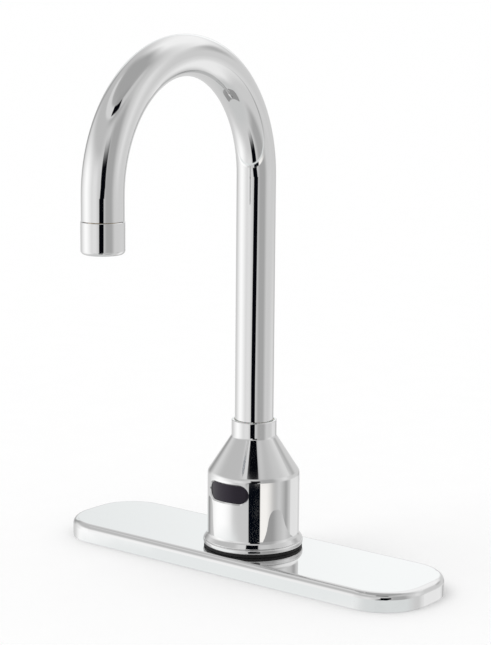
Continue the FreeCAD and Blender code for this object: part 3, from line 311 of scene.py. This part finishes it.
def turned_brass(colours):
    """Brass bar cut on a lathe: yellow, first tarnish, and the tool's rings 0.25 mm apart across its axis."""
    return worked_metal("turned_brass", colours.brass, (0.05, 0.05, 1.0), 0.25 * MM, 0.16, 0.36, 0.72)


def drawn_copper(colours):
    """Copper pipe pulled through a die: pink, with the die's lines along it and brown patches."""
    return worked_metal("drawn_copper", colours.copper, (1.0, 1.0, 0.05), 0.35 * MM, 0.2, 0.42, 0.6)


def turned_acetal(colours):
    """White acetal bush: waxy, a little light passes into it, and the lathe left dull rings 0.3 mm apart."""
    material, tree, shader, place = begin("turned_acetal", (0.05, 0.05, 1.0), Base_Color=colours.acetal,
                                          IOR=1.48, Subsurface_Weight=0.15, Subsurface_Scale=0.6 * MM)
    rings = add(tree, "ShaderNodeTexNoise", {"Vector": place, "Scale": 1 / (0.3 * MM), "Detail": 1.0})
    rough = add(tree, "ShaderNodeMapRange", {"Value": rings.outputs["Fac"], "To Min": 0.3, "To Max": 0.48})
    bump = add(tree, "ShaderNodeBump", {"Height": rings.outputs["Fac"], "Distance": 0.015 * MM})
    tree.links.new(rough.outputs["Result"], shader.inputs["Roughness"])
    tree.links.new(bump.outputs["Normal"], shader.inputs["Normal"])
    return material


def moulded_acetal(colours):
    """Grey acetal of the flow insert: satin, with the pale swirls of moulded resin."""
    material, tree, shader, place = begin("moulded_acetal", IOR=1.48)
    swirl = add(tree, "ShaderNodeTexNoise", {"Vector": place, "Scale": 1 / (4 * MM), "Distortion": 1.5})
    tone = add(tree, "ShaderNodeMix", {0: swirl.outputs["Fac"], 6: shade(colours.insert, 0.85),
                                       7: colours.insert}, data_type="RGBA")
    rough = add(tree, "ShaderNodeMapRange", {"Value": swirl.outputs["Fac"], "To Min": 0.34, "To Max": 0.5})
    tree.links.new(tone.outputs[2], shader.inputs["Base Color"])
    tree.links.new(rough.outputs["Result"], shader.inputs["Roughness"])
    return material


def closed_cell_foam(colours):
    """Black polyethylene foam cut from sheet: soft, dry, with cut cells 0.6 mm across and painted shade in
    their hollows.
    """
    material, tree, shader, place = begin("closed_cell_foam", IOR=1.5, Specular_IOR_Level=0.2)
    cells = add(tree, "ShaderNodeTexVoronoi", {"Vector": place, "Scale": 1 / (0.6 * MM)})
    # Painted shade: each cut cell is darkest in its hollow middle and palest at its rim, following the bump.
    tone = add(tree, "ShaderNodeMix", {0: cells.outputs["Distance"], 6: shade(colours.foam, 0.5),
                                       7: shade(colours.foam, 1.3)}, data_type="RGBA")
    rough = add(tree, "ShaderNodeMapRange", {"Value": cells.outputs["Distance"], "To Min": 0.82,
                                             "To Max": 0.95})
    bump = add(tree, "ShaderNodeBump", {"Height": cells.outputs["Distance"], "Distance": 0.12 * MM})
    tree.links.new(tone.outputs[2], shader.inputs["Base Color"])
    tree.links.new(rough.outputs["Result"], shader.inputs["Roughness"])
    tree.links.new(bump.outputs["Normal"], shader.inputs["Normal"])
    return material


def matt_paper(colours):
    """Studio paper: white and matt, with the faint cloud of its pulp."""
    material, tree, shader, place = begin("matt_paper", Specular_IOR_Level=0.0)
    pulp = add(tree, "ShaderNodeTexNoise", {"Vector": place, "Scale": 1 / (30 * MM), "Detail": 3.0})
    tone = add(tree, "ShaderNodeMix", {0: pulp.outputs["Fac"], 6: shade(colours.floor, 0.985),
                                       7: colours.floor}, data_type="RGBA")
    rough = add(tree, "ShaderNodeMapRange", {"Value": pulp.outputs["Fac"], "To Min": 0.9, "To Max": 1.0})
    tree.links.new(tone.outputs[2], shader.inputs["Base Color"])
    tree.links.new(rough.outputs["Result"], shader.inputs["Roughness"])
    return material


# What fills each material slot of the record.
MAKERS = {
    "chrome": polished_chrome, "smoked_lens": smoked_polycarbonate, "black_rubber": moulded_rubber,
    "black_plastic": spark_textured_abs, "circuit_board": solder_mask, "clear_epoxy": clear_epoxy,
    "dark_epoxy": daylight_epoxy, "steel": rolled_stainless, "dark_steel": black_oxide_steel,
    "brass": turned_brass, "white_plastic": turned_acetal, "foam": closed_cell_foam, "copper": drawn_copper,
    "grey_plastic": moulded_acetal, "steel_mesh": woven_stainless,
}
SLOTS = {part["node"]: part["material_slot"] for part in frame["record"]["subparts"]}
FINISHES = {}


def finish(slot):
    """The material of a slot, made when it is first asked for."""
    if slot not in FINISHES:
        FINISHES[slot] = MAKERS[slot](bpy.context.scene.tap_colours)
    return FINISHES[slot]


def dress(*nodes):
    """Gives CAD nodes whose shape is right the finish of their slots."""
    for node in nodes:
        frame["nodes"][node].material_slots[0].material = finish(SLOTS[node])


# ---------------------------------------------------------------- threads, hexagon and gauze

# Edges bent more sharply than this, in degrees, are drawn sharp.
SHARP_EDGE = 32
# Share of the wave that is cut flat at a thread's crest, and as much at its root.
THREAD_FLAT = 0.1
# Rise of the cone that eases the hexagon's corners, outwards for each millimetre along the axis.
HEXAGON_EASE = 1.73
# Rows of points to one turn of a thread: the small threads, then the shank's long one.
FINE_ROWS, SHANK_ROWS = 8, 6

# The turned pieces, in millimetres. Their heights, and the hexagon across its flats, come from the frame.
NIPPLE_R, NIPPLE_BORE_R, NIPPLE_CHAMFER = 11.0, 8.8, 0.4
NIPPLE_TOP = 9.0            # from the outlet's seam up to the nipple's end inside the tube
NIPPLE_PLAIN_R = 10.8       # above the seam
NIPPLE_THREAD = 5.3         # threaded length
NIPPLE_RELIEF_R, NIPPLE_RELIEF, NIPPLE_RELIEF_SLOPE = 10.2, 1.0, 0.3
NIPPLE_RUNOUT = 1.2         # where the thread stops, below the seam
SEAM_STEP = 0.05            # height of the step from the relief to the plain part
SHANK_R, SHANK_BORE_R, SHANK_CHAMFER = 15.0, 12.5, 0.8
INLET_R, INLET_BORE_R, INLET_CHAMFER, INLET_RUNOUT = 7.14, 4.0, 0.7, 1.0
HEXAGON_R, HEXAGON_HEIGHT, HEXAGON_EDGE = 9.82, 9.0, 0.8
SOCKET_R, SOCKET_DEPTH = 5.0, 7.0       # where the tail pipe enters the inlet

def make_piece(name, points, faces, body, node):
    """Puts points and faces into a mesh that rides on a body, and stands for a CAD node in its own finish."""
    mesh = bpy.data.meshes.new(name)
    mesh.from_pydata(points.tolist(), [], faces)
    mesh.polygons.foreach_set("use_smooth", np.ones(len(mesh.polygons), bool))
    mesh.set_sharp_from_angle(angle=math.radians(SHARP_EDGE))
    mesh.materials.append(finish(SLOTS[node]))
    piece = bpy.data.objects.new(name, mesh)
    bpy.context.scene.collection.objects.link(piece)
    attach(piece, body)
    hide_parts(node)
    return piece


def wrapped_faces(turns, rows):
    """Quads between neighbours on a grid that closes on itself both ways, facing outwards for rows that go
    up the outside and down the inside."""
    i, j = np.meshgrid(np.arange(turns), np.arange(rows), indexing="ij")
    nexti, nextj = (i + 1) % turns, (j + 1) % rows
    corners = (i * rows + j, nexti * rows + j, nexti * rows + nextj, i * rows + nextj)
    return np.stack(corners, -1).reshape(-1, 4).tolist()


def section(corners):
    """Rows of a turned section: each corner is (radius, height, number of steps to the next corner)."""
    radii, heights, steps = (np.array(column) for column in zip(*corners))
    at = np.repeat(np.arange(len(corners)), steps)
    part = np.concatenate([np.arange(count) / count for count in steps])
    after = (at + 1) % len(corners)
    return (radii[at] + part * (radii[after] - radii[at]),
            heights[at] + part * (heights[after] - heights[at]))


def screw_groove(turn, height, low, high, pitch, depth):
    """Depth of a right-hand 60 degree thread at a turn and height.

    The groove is a triangle wave of height / pitch - turn / full turn, cut flat at both ends, and runs out
    over one pitch at each end of the threaded length.
    """
    wave = np.abs(2 * ((height / pitch - turn / (2 * np.pi)) % 1) - 1)
    runout = np.clip((height - low) / pitch, 0, 1) * np.clip((high - height) / pitch, 0, 1)
    return depth * np.clip((wave - THREAD_FLAT) / (1 - 2 * THREAD_FLAT), 0, 1) * runout


def turned_points(radius, height, turn, centre=(0.0, 0.0)):
    """Points (centre + radius (cos turn, sin turn), height) of a turned surface, in metres."""
    return np.stack([centre[0] + radius * np.cos(turn), centre[1] + radius * np.sin(turn),
                     height + 0 * turn], -1).reshape(-1, 3) * MM


def threaded_tube(name, corners, threads, body, node, centre=(0.0, 0.0), turns=96, flats=None):
    """A turned tube with outside threads, and a hexagon where flats gives its lowest and highest height.

    Radius = the section's radius less the thread's groove; between the hexagon's heights it is
    flats / (2 cos(turn folded to 30 degrees)), and no more than a cone that eases its corners.
    """
    radius, height = section(corners)
    turn = np.linspace(0, 2 * np.pi, turns, endpoint=False)[:, None]
    outside = radius > 0.5 * (radius.max() + radius.min())
    cut = radius + 0 * turn
    for low, high, pitch, depth in threads:
        within = outside & (height >= low) & (height <= high)
        cut = cut - within * screw_groove(turn, height, low, high, pitch, depth)
    if flats:
        across, low, high = flats
        folded = (turn % (np.pi / 3)) - np.pi / 6
        cone = across / 2 + HEXAGON_EASE * np.clip(np.minimum(height - low, high - height), 0, None)
        on_hexagon = (radius > across / 2 - 0.01) & (height >= low - 0.01)
        cut = np.where(on_hexagon, np.minimum(across / 2 / np.cos(folded), cone), cut)
    points = turned_points(cut, height, turn, centre)
    return make_piece(name, points, wrapped_faces(turns, len(height)), body, node)


def woven_gauze(name, sizes, centre, reach, middle, body, node):
    """Plain-woven gauze cut to a disc.

    A wire runs straight at its place k x spacing, and rises and falls by sway cos(pi along / spacing), up
    or down by turns from wire to wire, and the other way for the wires that cross it.
    """
    spacing, wire, sway = sizes.gauze_spacing / MM, sizes.gauze_wire / MM / 2, sizes.gauze_sway / MM
    count = int((reach - 2 * wire) / spacing)
    number = np.arange(-count, count + 1)[:, None, None]
    half = np.sqrt((reach - wire) ** 2 - (number * spacing) ** 2)
    wires, rows, sides = 2 * len(number), 97, 6
    along = np.linspace(-1, 1, rows)[None, :, None] * half
    around = np.linspace(0, 2 * np.pi, sides, endpoint=False)[None, None, :]
    lift = sway * np.cos(np.pi * along / spacing) * (-1.0) ** number
    side = number * spacing + wire * np.cos(around) + 0 * along
    along = along + 0 * around
    warp = np.stack([along, side, lift + wire * np.sin(around)], -1)
    weft = np.stack([side, along, wire * np.sin(around) - lift], -1)[:, :, ::-1]
    points = np.concatenate([warp, weft]).reshape(-1, 3) + (centre[0], centre[1], middle)
    w, i, j = np.meshgrid(np.arange(wires), np.arange(rows - 1), np.arange(sides), indexing="ij")
    start, after = (w * rows + i) * sides, (j + 1) % sides
    quads = np.stack([start + j, start + after, start + sides + after, start + sides + j], -1).reshape(-1, 4)
    ring = np.arange(sides)
    first = (np.arange(wires) * rows * sides)[:, None] + ring[::-1]
    last = ((np.arange(wires) + 1) * rows * sides - sides)[:, None] + ring
    return make_piece(name, points * MM, quads.tolist() + first.tolist() + last.tolist(), body, node)


# ---------------------------------------------------------------- studio

# Areas of the world that only glossy surfaces mirror, in place of a studio's cards: what it stands for,
# the middle, half width and soft edge of its compass angle in degrees, then of its height in degrees, and
# its colour. The compass starts at the camera and counts to the camera's right. Each card lies over those
# before it. They were placed for the view from the camera, and there is no such object.
CARDS = (
    ("below", 0, 180, 1, -90, 32, 20, "#C2C3C3"),
    ("ceiling", 0, 180, 1, 90, 40, 40, "#A0A0A0"),
    ("rear skylight", 150, 40, 60, 45, 22, 20, "#EEEEEE"),
    ("left screen", -90, 75, 40, 35, 14, 14, "#B8B8B8"),
    ("left softbox", -92, 26, 60, -10, 28, 30, "#FCFCFC"),
    ("front left screen", -40, 14, 20, -5, 20, 20, "#DCDCDC"),
    ("rear left gap", -150, 10, 24, 12, 16, 16, "#929292"),
    ("right screen", 36, 22, 24, -5, 45, 20, "#A2A2A2"),
    ("right panel", 86, 10, 20, 12, 16, 12, "#DADADA"),
    ("right gap", 126, 10, 20, 20, 6, 8, "#ACACAC"),
    ("right softbox", 118, 18, 24, -35, 22, 20, "#E8E8E8"),
    ("right edge", 150, 5, 14, -35, 30, 20, "#A0A0A0"),
    ("front canopy", 8, 30, 30, 55, 10, 12, "#989898"),
    ("upper left paper", -62, 64, 24, 53, 5, 4, "#D0D0D0"),
    ("upper right paper", 45, 30, 24, 53, 5, 4, "#C2C2C2"),
    ("rear wall, left", -168, 14, 12, 16, 7, 6, "#DCDFDF"),
    ("rear wall, right", 172, 10, 14, 16, 7, 6, "#F1F3F3"),
)
SURROUND = "#C8C8C8"

# Cards laid out as above that lie over the gap: a narrow band of heights that upright sides mirror when
# seen from about the camera's height, and the wider gap that the body's cone mirrors.
OVER_CARDS = (
    ("low front left", -32, 24, 14, -16.1, 1.5, 0.8, "#C4C4C4"),
    ("low left window", -92, 26, 60, -16.1, 1.5, 0.8, "#FFFFFF"),
    ("low right window", 24, 22, 34, -16.1, 1.5, 0.8, "#F2F0ED"),
    ("low right gap", 89, 7, 36, -16.1, 1.5, 0.8, "#8C8C8C"),
    ("low far right", 134, 20, 30, -16.1, 1.5, 0.8, "#DEDEDE"),
    ("low camera gap", 2.6, 14, 2, -16.1, 1.5, 0.8, "#03060D"),
    ("plate's screen", -76, 34, 30, -17.6, 1.0, 0.8, "#E4E7E7"),
    ("plate's corner", 8, 60, 30, -18.3, 0.8, 0.5, "#D4D7D7"),
    ("upper gap", -3, 19, 3, 54, 4, 2, "#040509"),
)

# The dark gap between the cards, in degrees: two heights and its middle at each, for it leans from one to
# the other, its half width and soft edge, its middle height, half height and soft edge, and its colour.
# It fades with height, because from behind the flat plate mirrors it whole.
GAP = ((-12.0, 0.0), (-8.0, 4.5), (12.0, 3.0), (-9.0, 33.0, 24.0), "#040509")


# The floor's depth below the deck in millimetres, which keeps the two faces apart, then the sun's spread
# and tilts in degrees, the camera's film width in millimetres and how far it sees in metres.
FLOOR_DROP = 0.2
SUN_SPREAD, SUN_TILTS = 40, (30, -20, 0)
FILM_WIDTH, FAR_CLIP = 36, 200


def cover(tree, angle, middle, half, soft):
    """How far a card covers an angle or height: 1 inside, falling smoothly to 0 over the soft edge."""
    away = add(tree, "ShaderNodeMath", {0: angle, 1: middle}, operation="SUBTRACT")
    near = add(tree, "ShaderNodeMath", {0: away.outputs[0], 1: 180.0, 2: -180.0}, operation="WRAP")
    size = add(tree, "ShaderNodeMath", {0: near.outputs[0]}, operation="ABSOLUTE")
    step = add(tree, "ShaderNodeMapRange", {"Value": size.outputs[0], "From Min": half - soft / 2,
                                            "From Max": half + soft / 2, "To Min": 1.0, "To Max": 0.0},
               interpolation_type="SMOOTHSTEP")
    return step.outputs["Result"]


def lay_cards(tree, compass, height, cards, colour):
    """Lays cards over a colour. A card's share is its cover of the compass times its cover of the height."""
    for name, middle, half, soft, level, reach, fade, code in cards:
        both = {0: cover(tree, compass, middle, half, soft), 1: cover(tree, height, level, reach, fade)}
        share = add(tree, "ShaderNodeMath", both, operation="MULTIPLY")
        colour = add(tree, "ShaderNodeMix", {0: share.outputs[0], 6: colour, 7: linear(code, 1.0)},
                     data_type="RGBA", label=name).outputs[2]
    return colour


def lay_gap(tree, compass, height, gap, colour):
    """Lays the dark gap over a colour. Its middle moves evenly from one height to the other."""
    heights, middles, (half, soft), (level, reach, fade), code = gap
    lean = add(tree, "ShaderNodeMapRange", {"Value": height, "From Min": heights[0], "From Max": heights[1],
                                            "To Min": middles[0], "To Max": middles[1]}).outputs["Result"]
    share = add(tree, "ShaderNodeMath", {0: cover(tree, compass, lean, half, soft),
                                         1: cover(tree, height, level, reach, fade)}, operation="MULTIPLY")
    return add(tree, "ShaderNodeMix", {0: share.outputs[0], 6: colour, 7: linear(code, 1.0)},
               data_type="RGBA", label="gap").outputs[2]


def compass_angle(tree, place, turn):
    """Compass angle of a direction, in degrees from the camera's, and its upright part."""
    facing = add(tree, "ShaderNodeVectorRotate", {"Vector": place, "Angle": -turn}, rotation_type="Z_AXIS")
    part = add(tree, "ShaderNodeSeparateXYZ", {0: facing.outputs[0]})
    ahead = add(tree, "ShaderNodeMath", {0: part.outputs["Y"], 1: -1.0}, operation="MULTIPLY")
    angle = add(tree, "ShaderNodeMath", {0: part.outputs["X"], 1: ahead.outputs[0]}, operation="ARCTAN2")
    degrees = add(tree, "ShaderNodeMath", {0: angle.outputs[0]}, operation="DEGREES").outputs[0]
    return degrees, part.outputs["Z"]


def studio_world(studio):
    """The world: white to the eye, an even dome as light, and to mirrors the cards by compass and height.

    A direction's height is the arcsine of its upright part, and its compass angle the arctangent of its
    sideways and forward parts.
    """
    world = bpy.data.worlds.new("studio")
    world.use_nodes = True
    tree = world.node_tree
    tree.nodes.clear()
    compass, upright = compass_angle(tree, add(tree, "ShaderNodeTexCoord").outputs["Generated"], studio.turn)
    lift = add(tree, "ShaderNodeMath", {0: upright}, operation="ARCSINE")
    height = add(tree, "ShaderNodeMath", {0: lift.outputs[0]}, operation="DEGREES").outputs[0]
    colour = lay_cards(tree, compass, height, CARDS, linear(SURROUND, 1.0))
    colour = lay_gap(tree, compass, height, GAP, colour)
    colour = lay_cards(tree, compass, height, OVER_CARDS, colour)
    mirrored = add(tree, "ShaderNodeBackground", {"Color": colour, "Strength": studio.cards})
    dome = add(tree, "ShaderNodeBackground", {"Color": (1.0, 1.0, 1.0, 1.0), "Strength": studio.dome})
    white = add(tree, "ShaderNodeBackground", {"Color": (1.0, 1.0, 1.0, 1.0), "Strength": 1.0})
    ray = add(tree, "ShaderNodeLightPath")
    lit = add(tree, "ShaderNodeMixShader", {0: ray.outputs["Is Glossy Ray"], 1: dome.outputs[0],
                                            2: mirrored.outputs[0]})
    straight = {0: ray.outputs["Is Camera Ray"], 1: ray.outputs["Is Transmission Ray"]}
    seen = add(tree, "ShaderNodeMath", straight, operation="MAXIMUM")
    out = add(tree, "ShaderNodeMixShader", {0: seen.outputs[0], 1: lit.outputs[0], 2: white.outputs[0]})
    add(tree, "ShaderNodeOutputWorld", {0: out.outputs[0]})
    return world


def camera_frame(studio):
    """The camera's place and axes: it looks at its aim from a turn and a rise, then rolls."""
    sin_t, cos_t = math.sin(studio.turn), math.cos(studio.turn)
    sin_r, cos_r = math.sin(studio.rise), math.cos(studio.rise)
    back = np.array([sin_t * cos_r, -cos_t * cos_r, sin_r])
    right = np.array([cos_t, sin_t, 0.0])
    up = np.cross(back, right)
    cos_o, sin_o = math.cos(studio.roll), math.sin(studio.roll)
    matrix = np.eye(4)
    matrix[:3, 0] = cos_o * right + sin_o * up
    matrix[:3, 1] = -sin_o * right + cos_o * up
    matrix[:3, 2] = back
    matrix[:3, 3] = np.array([studio.aim_x, 0.0, studio.aim_z]) + studio.distance * back
    return matrix


# ---------------------------------------------------------------- operators

class TAP_OT_chromed(bpy.types.Operator):
    """Chromes the bell, its ring, the bent tube, the outlet's housing and the cover plate"""

    bl_idname = "tap.chromed"
    bl_label = "Chromed pieces"

    def execute(self, context):
        dress("body_shell", "base_ring", "spout_tube", "outlet_housing", "deck_plate")
        return {"FINISHED"}


class TAP_OT_gaskets(bpy.types.Operator):
    """Dresses the gaskets under the body and the plate, and the plug of the shank"""

    bl_idname = "tap.gaskets"
    bl_label = "Gaskets and plug"

    def execute(self, context):
        dress("body_gasket", "plate_gasket", "cable_plug")
        return {"FINISHED"}


class TAP_OT_sensor(bpy.types.Operator):
    """Dresses the sensor: window, seal, case, board, emitter, receiver and screws"""

    bl_idname = "tap.sensor"
    bl_label = "Sensor"

    def execute(self, context):
        dress("sensor_window", "window_gasket", "sensor_case", "sensor_board", "emitter_led",
              "receiver_diode", "sensor_screws")
        return {"FINISHED"}


class TAP_OT_waterway(bpy.types.Operator):
    """Dresses the waterway, the spout's stem with its rings and bush, and the screws of the body"""

    bl_idname = "tap.waterway"
    bl_label = "Waterway and swivel"

    def execute(self, context):
        dress("waterway", "waterway_screws", "spout_stem", "stem_ring_upper", "stem_ring_lower",
              "swivel_bush", "spout_stop_screw", "body_set_screw")
        return {"FINISHED"}


class TAP_OT_outlet(bpy.types.Operator):
    """Makes the outlet's threaded nipple and its gauze, and dresses its washer and insert"""

    bl_idname = "tap.outlet"
    bl_label = "Outlet"

    def execute(self, context):
        sizes = context.scene.tap_sizes
        low, high = (np.array(corner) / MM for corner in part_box("outlet_nipple"))
        gauze_low, gauze_high = (np.array(corner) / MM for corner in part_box("flow_screen"))
        centre = (gauze_low[:2] + gauze_high[:2]) / 2
        pitch = sizes.outlet_pitch / MM
        rows = max(2, int(NIPPLE_THREAD / pitch * FINE_ROWS))
        seam = high[2] - NIPPLE_TOP
        corners = [(NIPPLE_R - NIPPLE_CHAMFER, low[2], 1), (NIPPLE_R, low[2] + NIPPLE_CHAMFER, rows),
                   (NIPPLE_R, seam - NIPPLE_RELIEF - NIPPLE_RELIEF_SLOPE, 1),
                   (NIPPLE_RELIEF_R, seam - NIPPLE_RELIEF, 2), (NIPPLE_RELIEF_R, seam - SEAM_STEP, 1),
                   (NIPPLE_PLAIN_R, seam, 2), (NIPPLE_PLAIN_R, high[2], 1), (NIPPLE_BORE_R, high[2], 6),
                   (NIPPLE_BORE_R, low[2], 1)]
        threads = [(low[2], seam - NIPPLE_RUNOUT, pitch, pitch * sizes.thread_depth)]
        threaded_tube("threaded_nipple", corners, threads, "spout", "outlet_nipple", centre)
        woven_gauze("woven_gauze", sizes, centre, (gauze_high[0] - gauze_low[0]) / 2,
                    (gauze_high[2] + gauze_low[2]) / 2, "spout", "flow_screen")
        dress("flow_insert", "outlet_washer")
        return {"FINISHED"}


class TAP_OT_shank(bpy.types.Operator):
    """Makes the threaded shank, and dresses the washers and the nut that clamp it to the deck"""

    bl_idname = "tap.shank"
    bl_label = "Shank and clamp"

    def execute(self, context):
        sizes = context.scene.tap_sizes
        low, high = (np.array(corner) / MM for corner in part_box("mounting_shank"))
        pitch = sizes.shank_pitch / MM
        rows = int((high[2] - low[2]) / pitch * SHANK_ROWS)
        corners = [(SHANK_R - SHANK_CHAMFER, low[2], 1), (SHANK_R, low[2] + SHANK_CHAMFER, rows),
                   (SHANK_R, high[2], 1), (SHANK_BORE_R, high[2], 6), (SHANK_BORE_R, low[2], 1)]
        threads = [(low[2], high[2], pitch, pitch * sizes.thread_depth)]
        threaded_tube("threaded_shank", corners, threads, "tap_body", "mounting_shank")
        dress("rubber_washer", "steel_washer", "mounting_nut")
        return {"FINISHED"}


class TAP_OT_inlet(bpy.types.Operator):
    """Makes the inlet fitting with its hexagon and thread, and dresses the copper tail"""

    bl_idname = "tap.inlet"
    bl_label = "Inlet"

    def execute(self, context):
        sizes = context.scene.tap_sizes
        low, high = (np.array(corner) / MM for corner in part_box("inlet_fitting"))
        pitch = sizes.inlet_pitch / MM
        ledge, stop = high[2] - HEXAGON_HEIGHT, high[2] - SOCKET_DEPTH
        rows = int((ledge - low[2]) / pitch * FINE_ROWS)
        corners = [(INLET_R - INLET_CHAMFER, low[2], 1), (INLET_R, low[2] + INLET_CHAMFER, rows),
                   (INLET_R, ledge, 1), (HEXAGON_R, ledge, 4), (HEXAGON_R, ledge + HEXAGON_EDGE, 2),
                   (HEXAGON_R, high[2] - HEXAGON_EDGE, 4), (HEXAGON_R, high[2], 1),
                   (SOCKET_R, high[2], 2), (SOCKET_R, stop, 1), (INLET_BORE_R, stop, 2),
                   (INLET_BORE_R, low[2], 1)]
        threads = [(low[2], ledge - INLET_RUNOUT, pitch, pitch * sizes.thread_depth)]
        threaded_tube("inlet_connector", corners, threads, "tap_body", "inlet_fitting", turns=120,
                      flats=(2 * high[1], ledge, high[2]))
        dress("tail_pipe")
        return {"FINISHED"}


class TAP_OT_studio(bpy.types.Operator):
    """Sets up the floor, the light, the world and the camera"""

    bl_idname = "tap.studio"
    bl_label = "Studio"

    def execute(self, context):
        scene = context.scene
        studio = scene.tap_studio
        reach = studio.floor_reach
        mesh = bpy.data.meshes.new("floor")
        z = -FLOOR_DROP * MM
        mesh.from_pydata([(-reach, -reach, z), (reach, -reach, z), (reach, reach, z), (-reach, reach, z)],
                         [], [(0, 1, 2, 3)])
        floor = bpy.data.objects.new("floor", mesh)
        scene.collection.objects.link(floor)
        mesh.materials.append(matt_paper(scene.tap_colours))
        floor.visible_glossy = False

        sun = bpy.data.lights.new("soft_sun", "SUN")
        sun.energy = studio.sun
        sun.angle = math.radians(SUN_SPREAD)
        lamp = bpy.data.objects.new("soft_sun", sun)
        lamp.rotation_euler = [math.radians(tilt) for tilt in SUN_TILTS]
        lamp.visible_glossy = False
        scene.collection.objects.link(lamp)

        scene.world = studio_world(studio)

        data = bpy.data.cameras.new("camera")
        data.sensor_width = FILM_WIDTH
        data.lens = studio.lens
        data.clip_end = FAR_CLIP
        camera = bpy.data.objects.new("camera", data)
        camera.matrix_world = camera_frame(studio).T.tolist()
        scene.collection.objects.link(camera)
        scene.camera = camera
        scene.view_settings.view_transform = "Standard"
        return {"FINISHED"}


OPERATORS = (TAP_OT_chromed, TAP_OT_gaskets, TAP_OT_sensor, TAP_OT_waterway, TAP_OT_outlet, TAP_OT_shank,
             TAP_OT_inlet, TAP_OT_studio)


class TAP_PT_sidebar(bpy.types.Panel):
    """Lists the tap's pieces and its studio"""

    bl_label = "Sensor Tap"
    bl_idname = "TAP_PT_sidebar"
    bl_space_type = "VIEW_3D"
    bl_region_type = "UI"
    bl_category = "Sensor Tap"

    def draw(self, context):
        for operator in OPERATORS:
            self.layout.operator(operator.bl_idname)
        for group in (context.scene.tap_colours, context.scene.tap_sizes, context.scene.tap_studio):
            for name in group.bl_rna.properties.keys():
                if name not in ("rna_type", "name"):
                    self.layout.prop(group, name)


CLASSES = (TapColours, TapSizes, TapStudio, *OPERATORS, TAP_PT_sidebar)


def register():
    for kind in CLASSES:
        bpy.utils.register_class(kind)
    bpy.types.Scene.tap_colours = bpy.props.PointerProperty(type=TapColours)
    bpy.types.Scene.tap_sizes = bpy.props.PointerProperty(type=TapSizes)
    bpy.types.Scene.tap_studio = bpy.props.PointerProperty(type=TapStudio)


def unregister():
    del bpy.types.Scene.tap_studio
    del bpy.types.Scene.tap_sizes
    del bpy.types.Scene.tap_colours
    for kind in reversed(CLASSES):
        bpy.utils.unregister_class(kind)


def main():
    """Registers the add-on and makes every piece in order."""
    register()
    for operator in OPERATORS:
        group, name = operator.bl_idname.split(".")
        getattr(getattr(bpy.ops, group), name)()


if __name__ == "__main__":
    main()
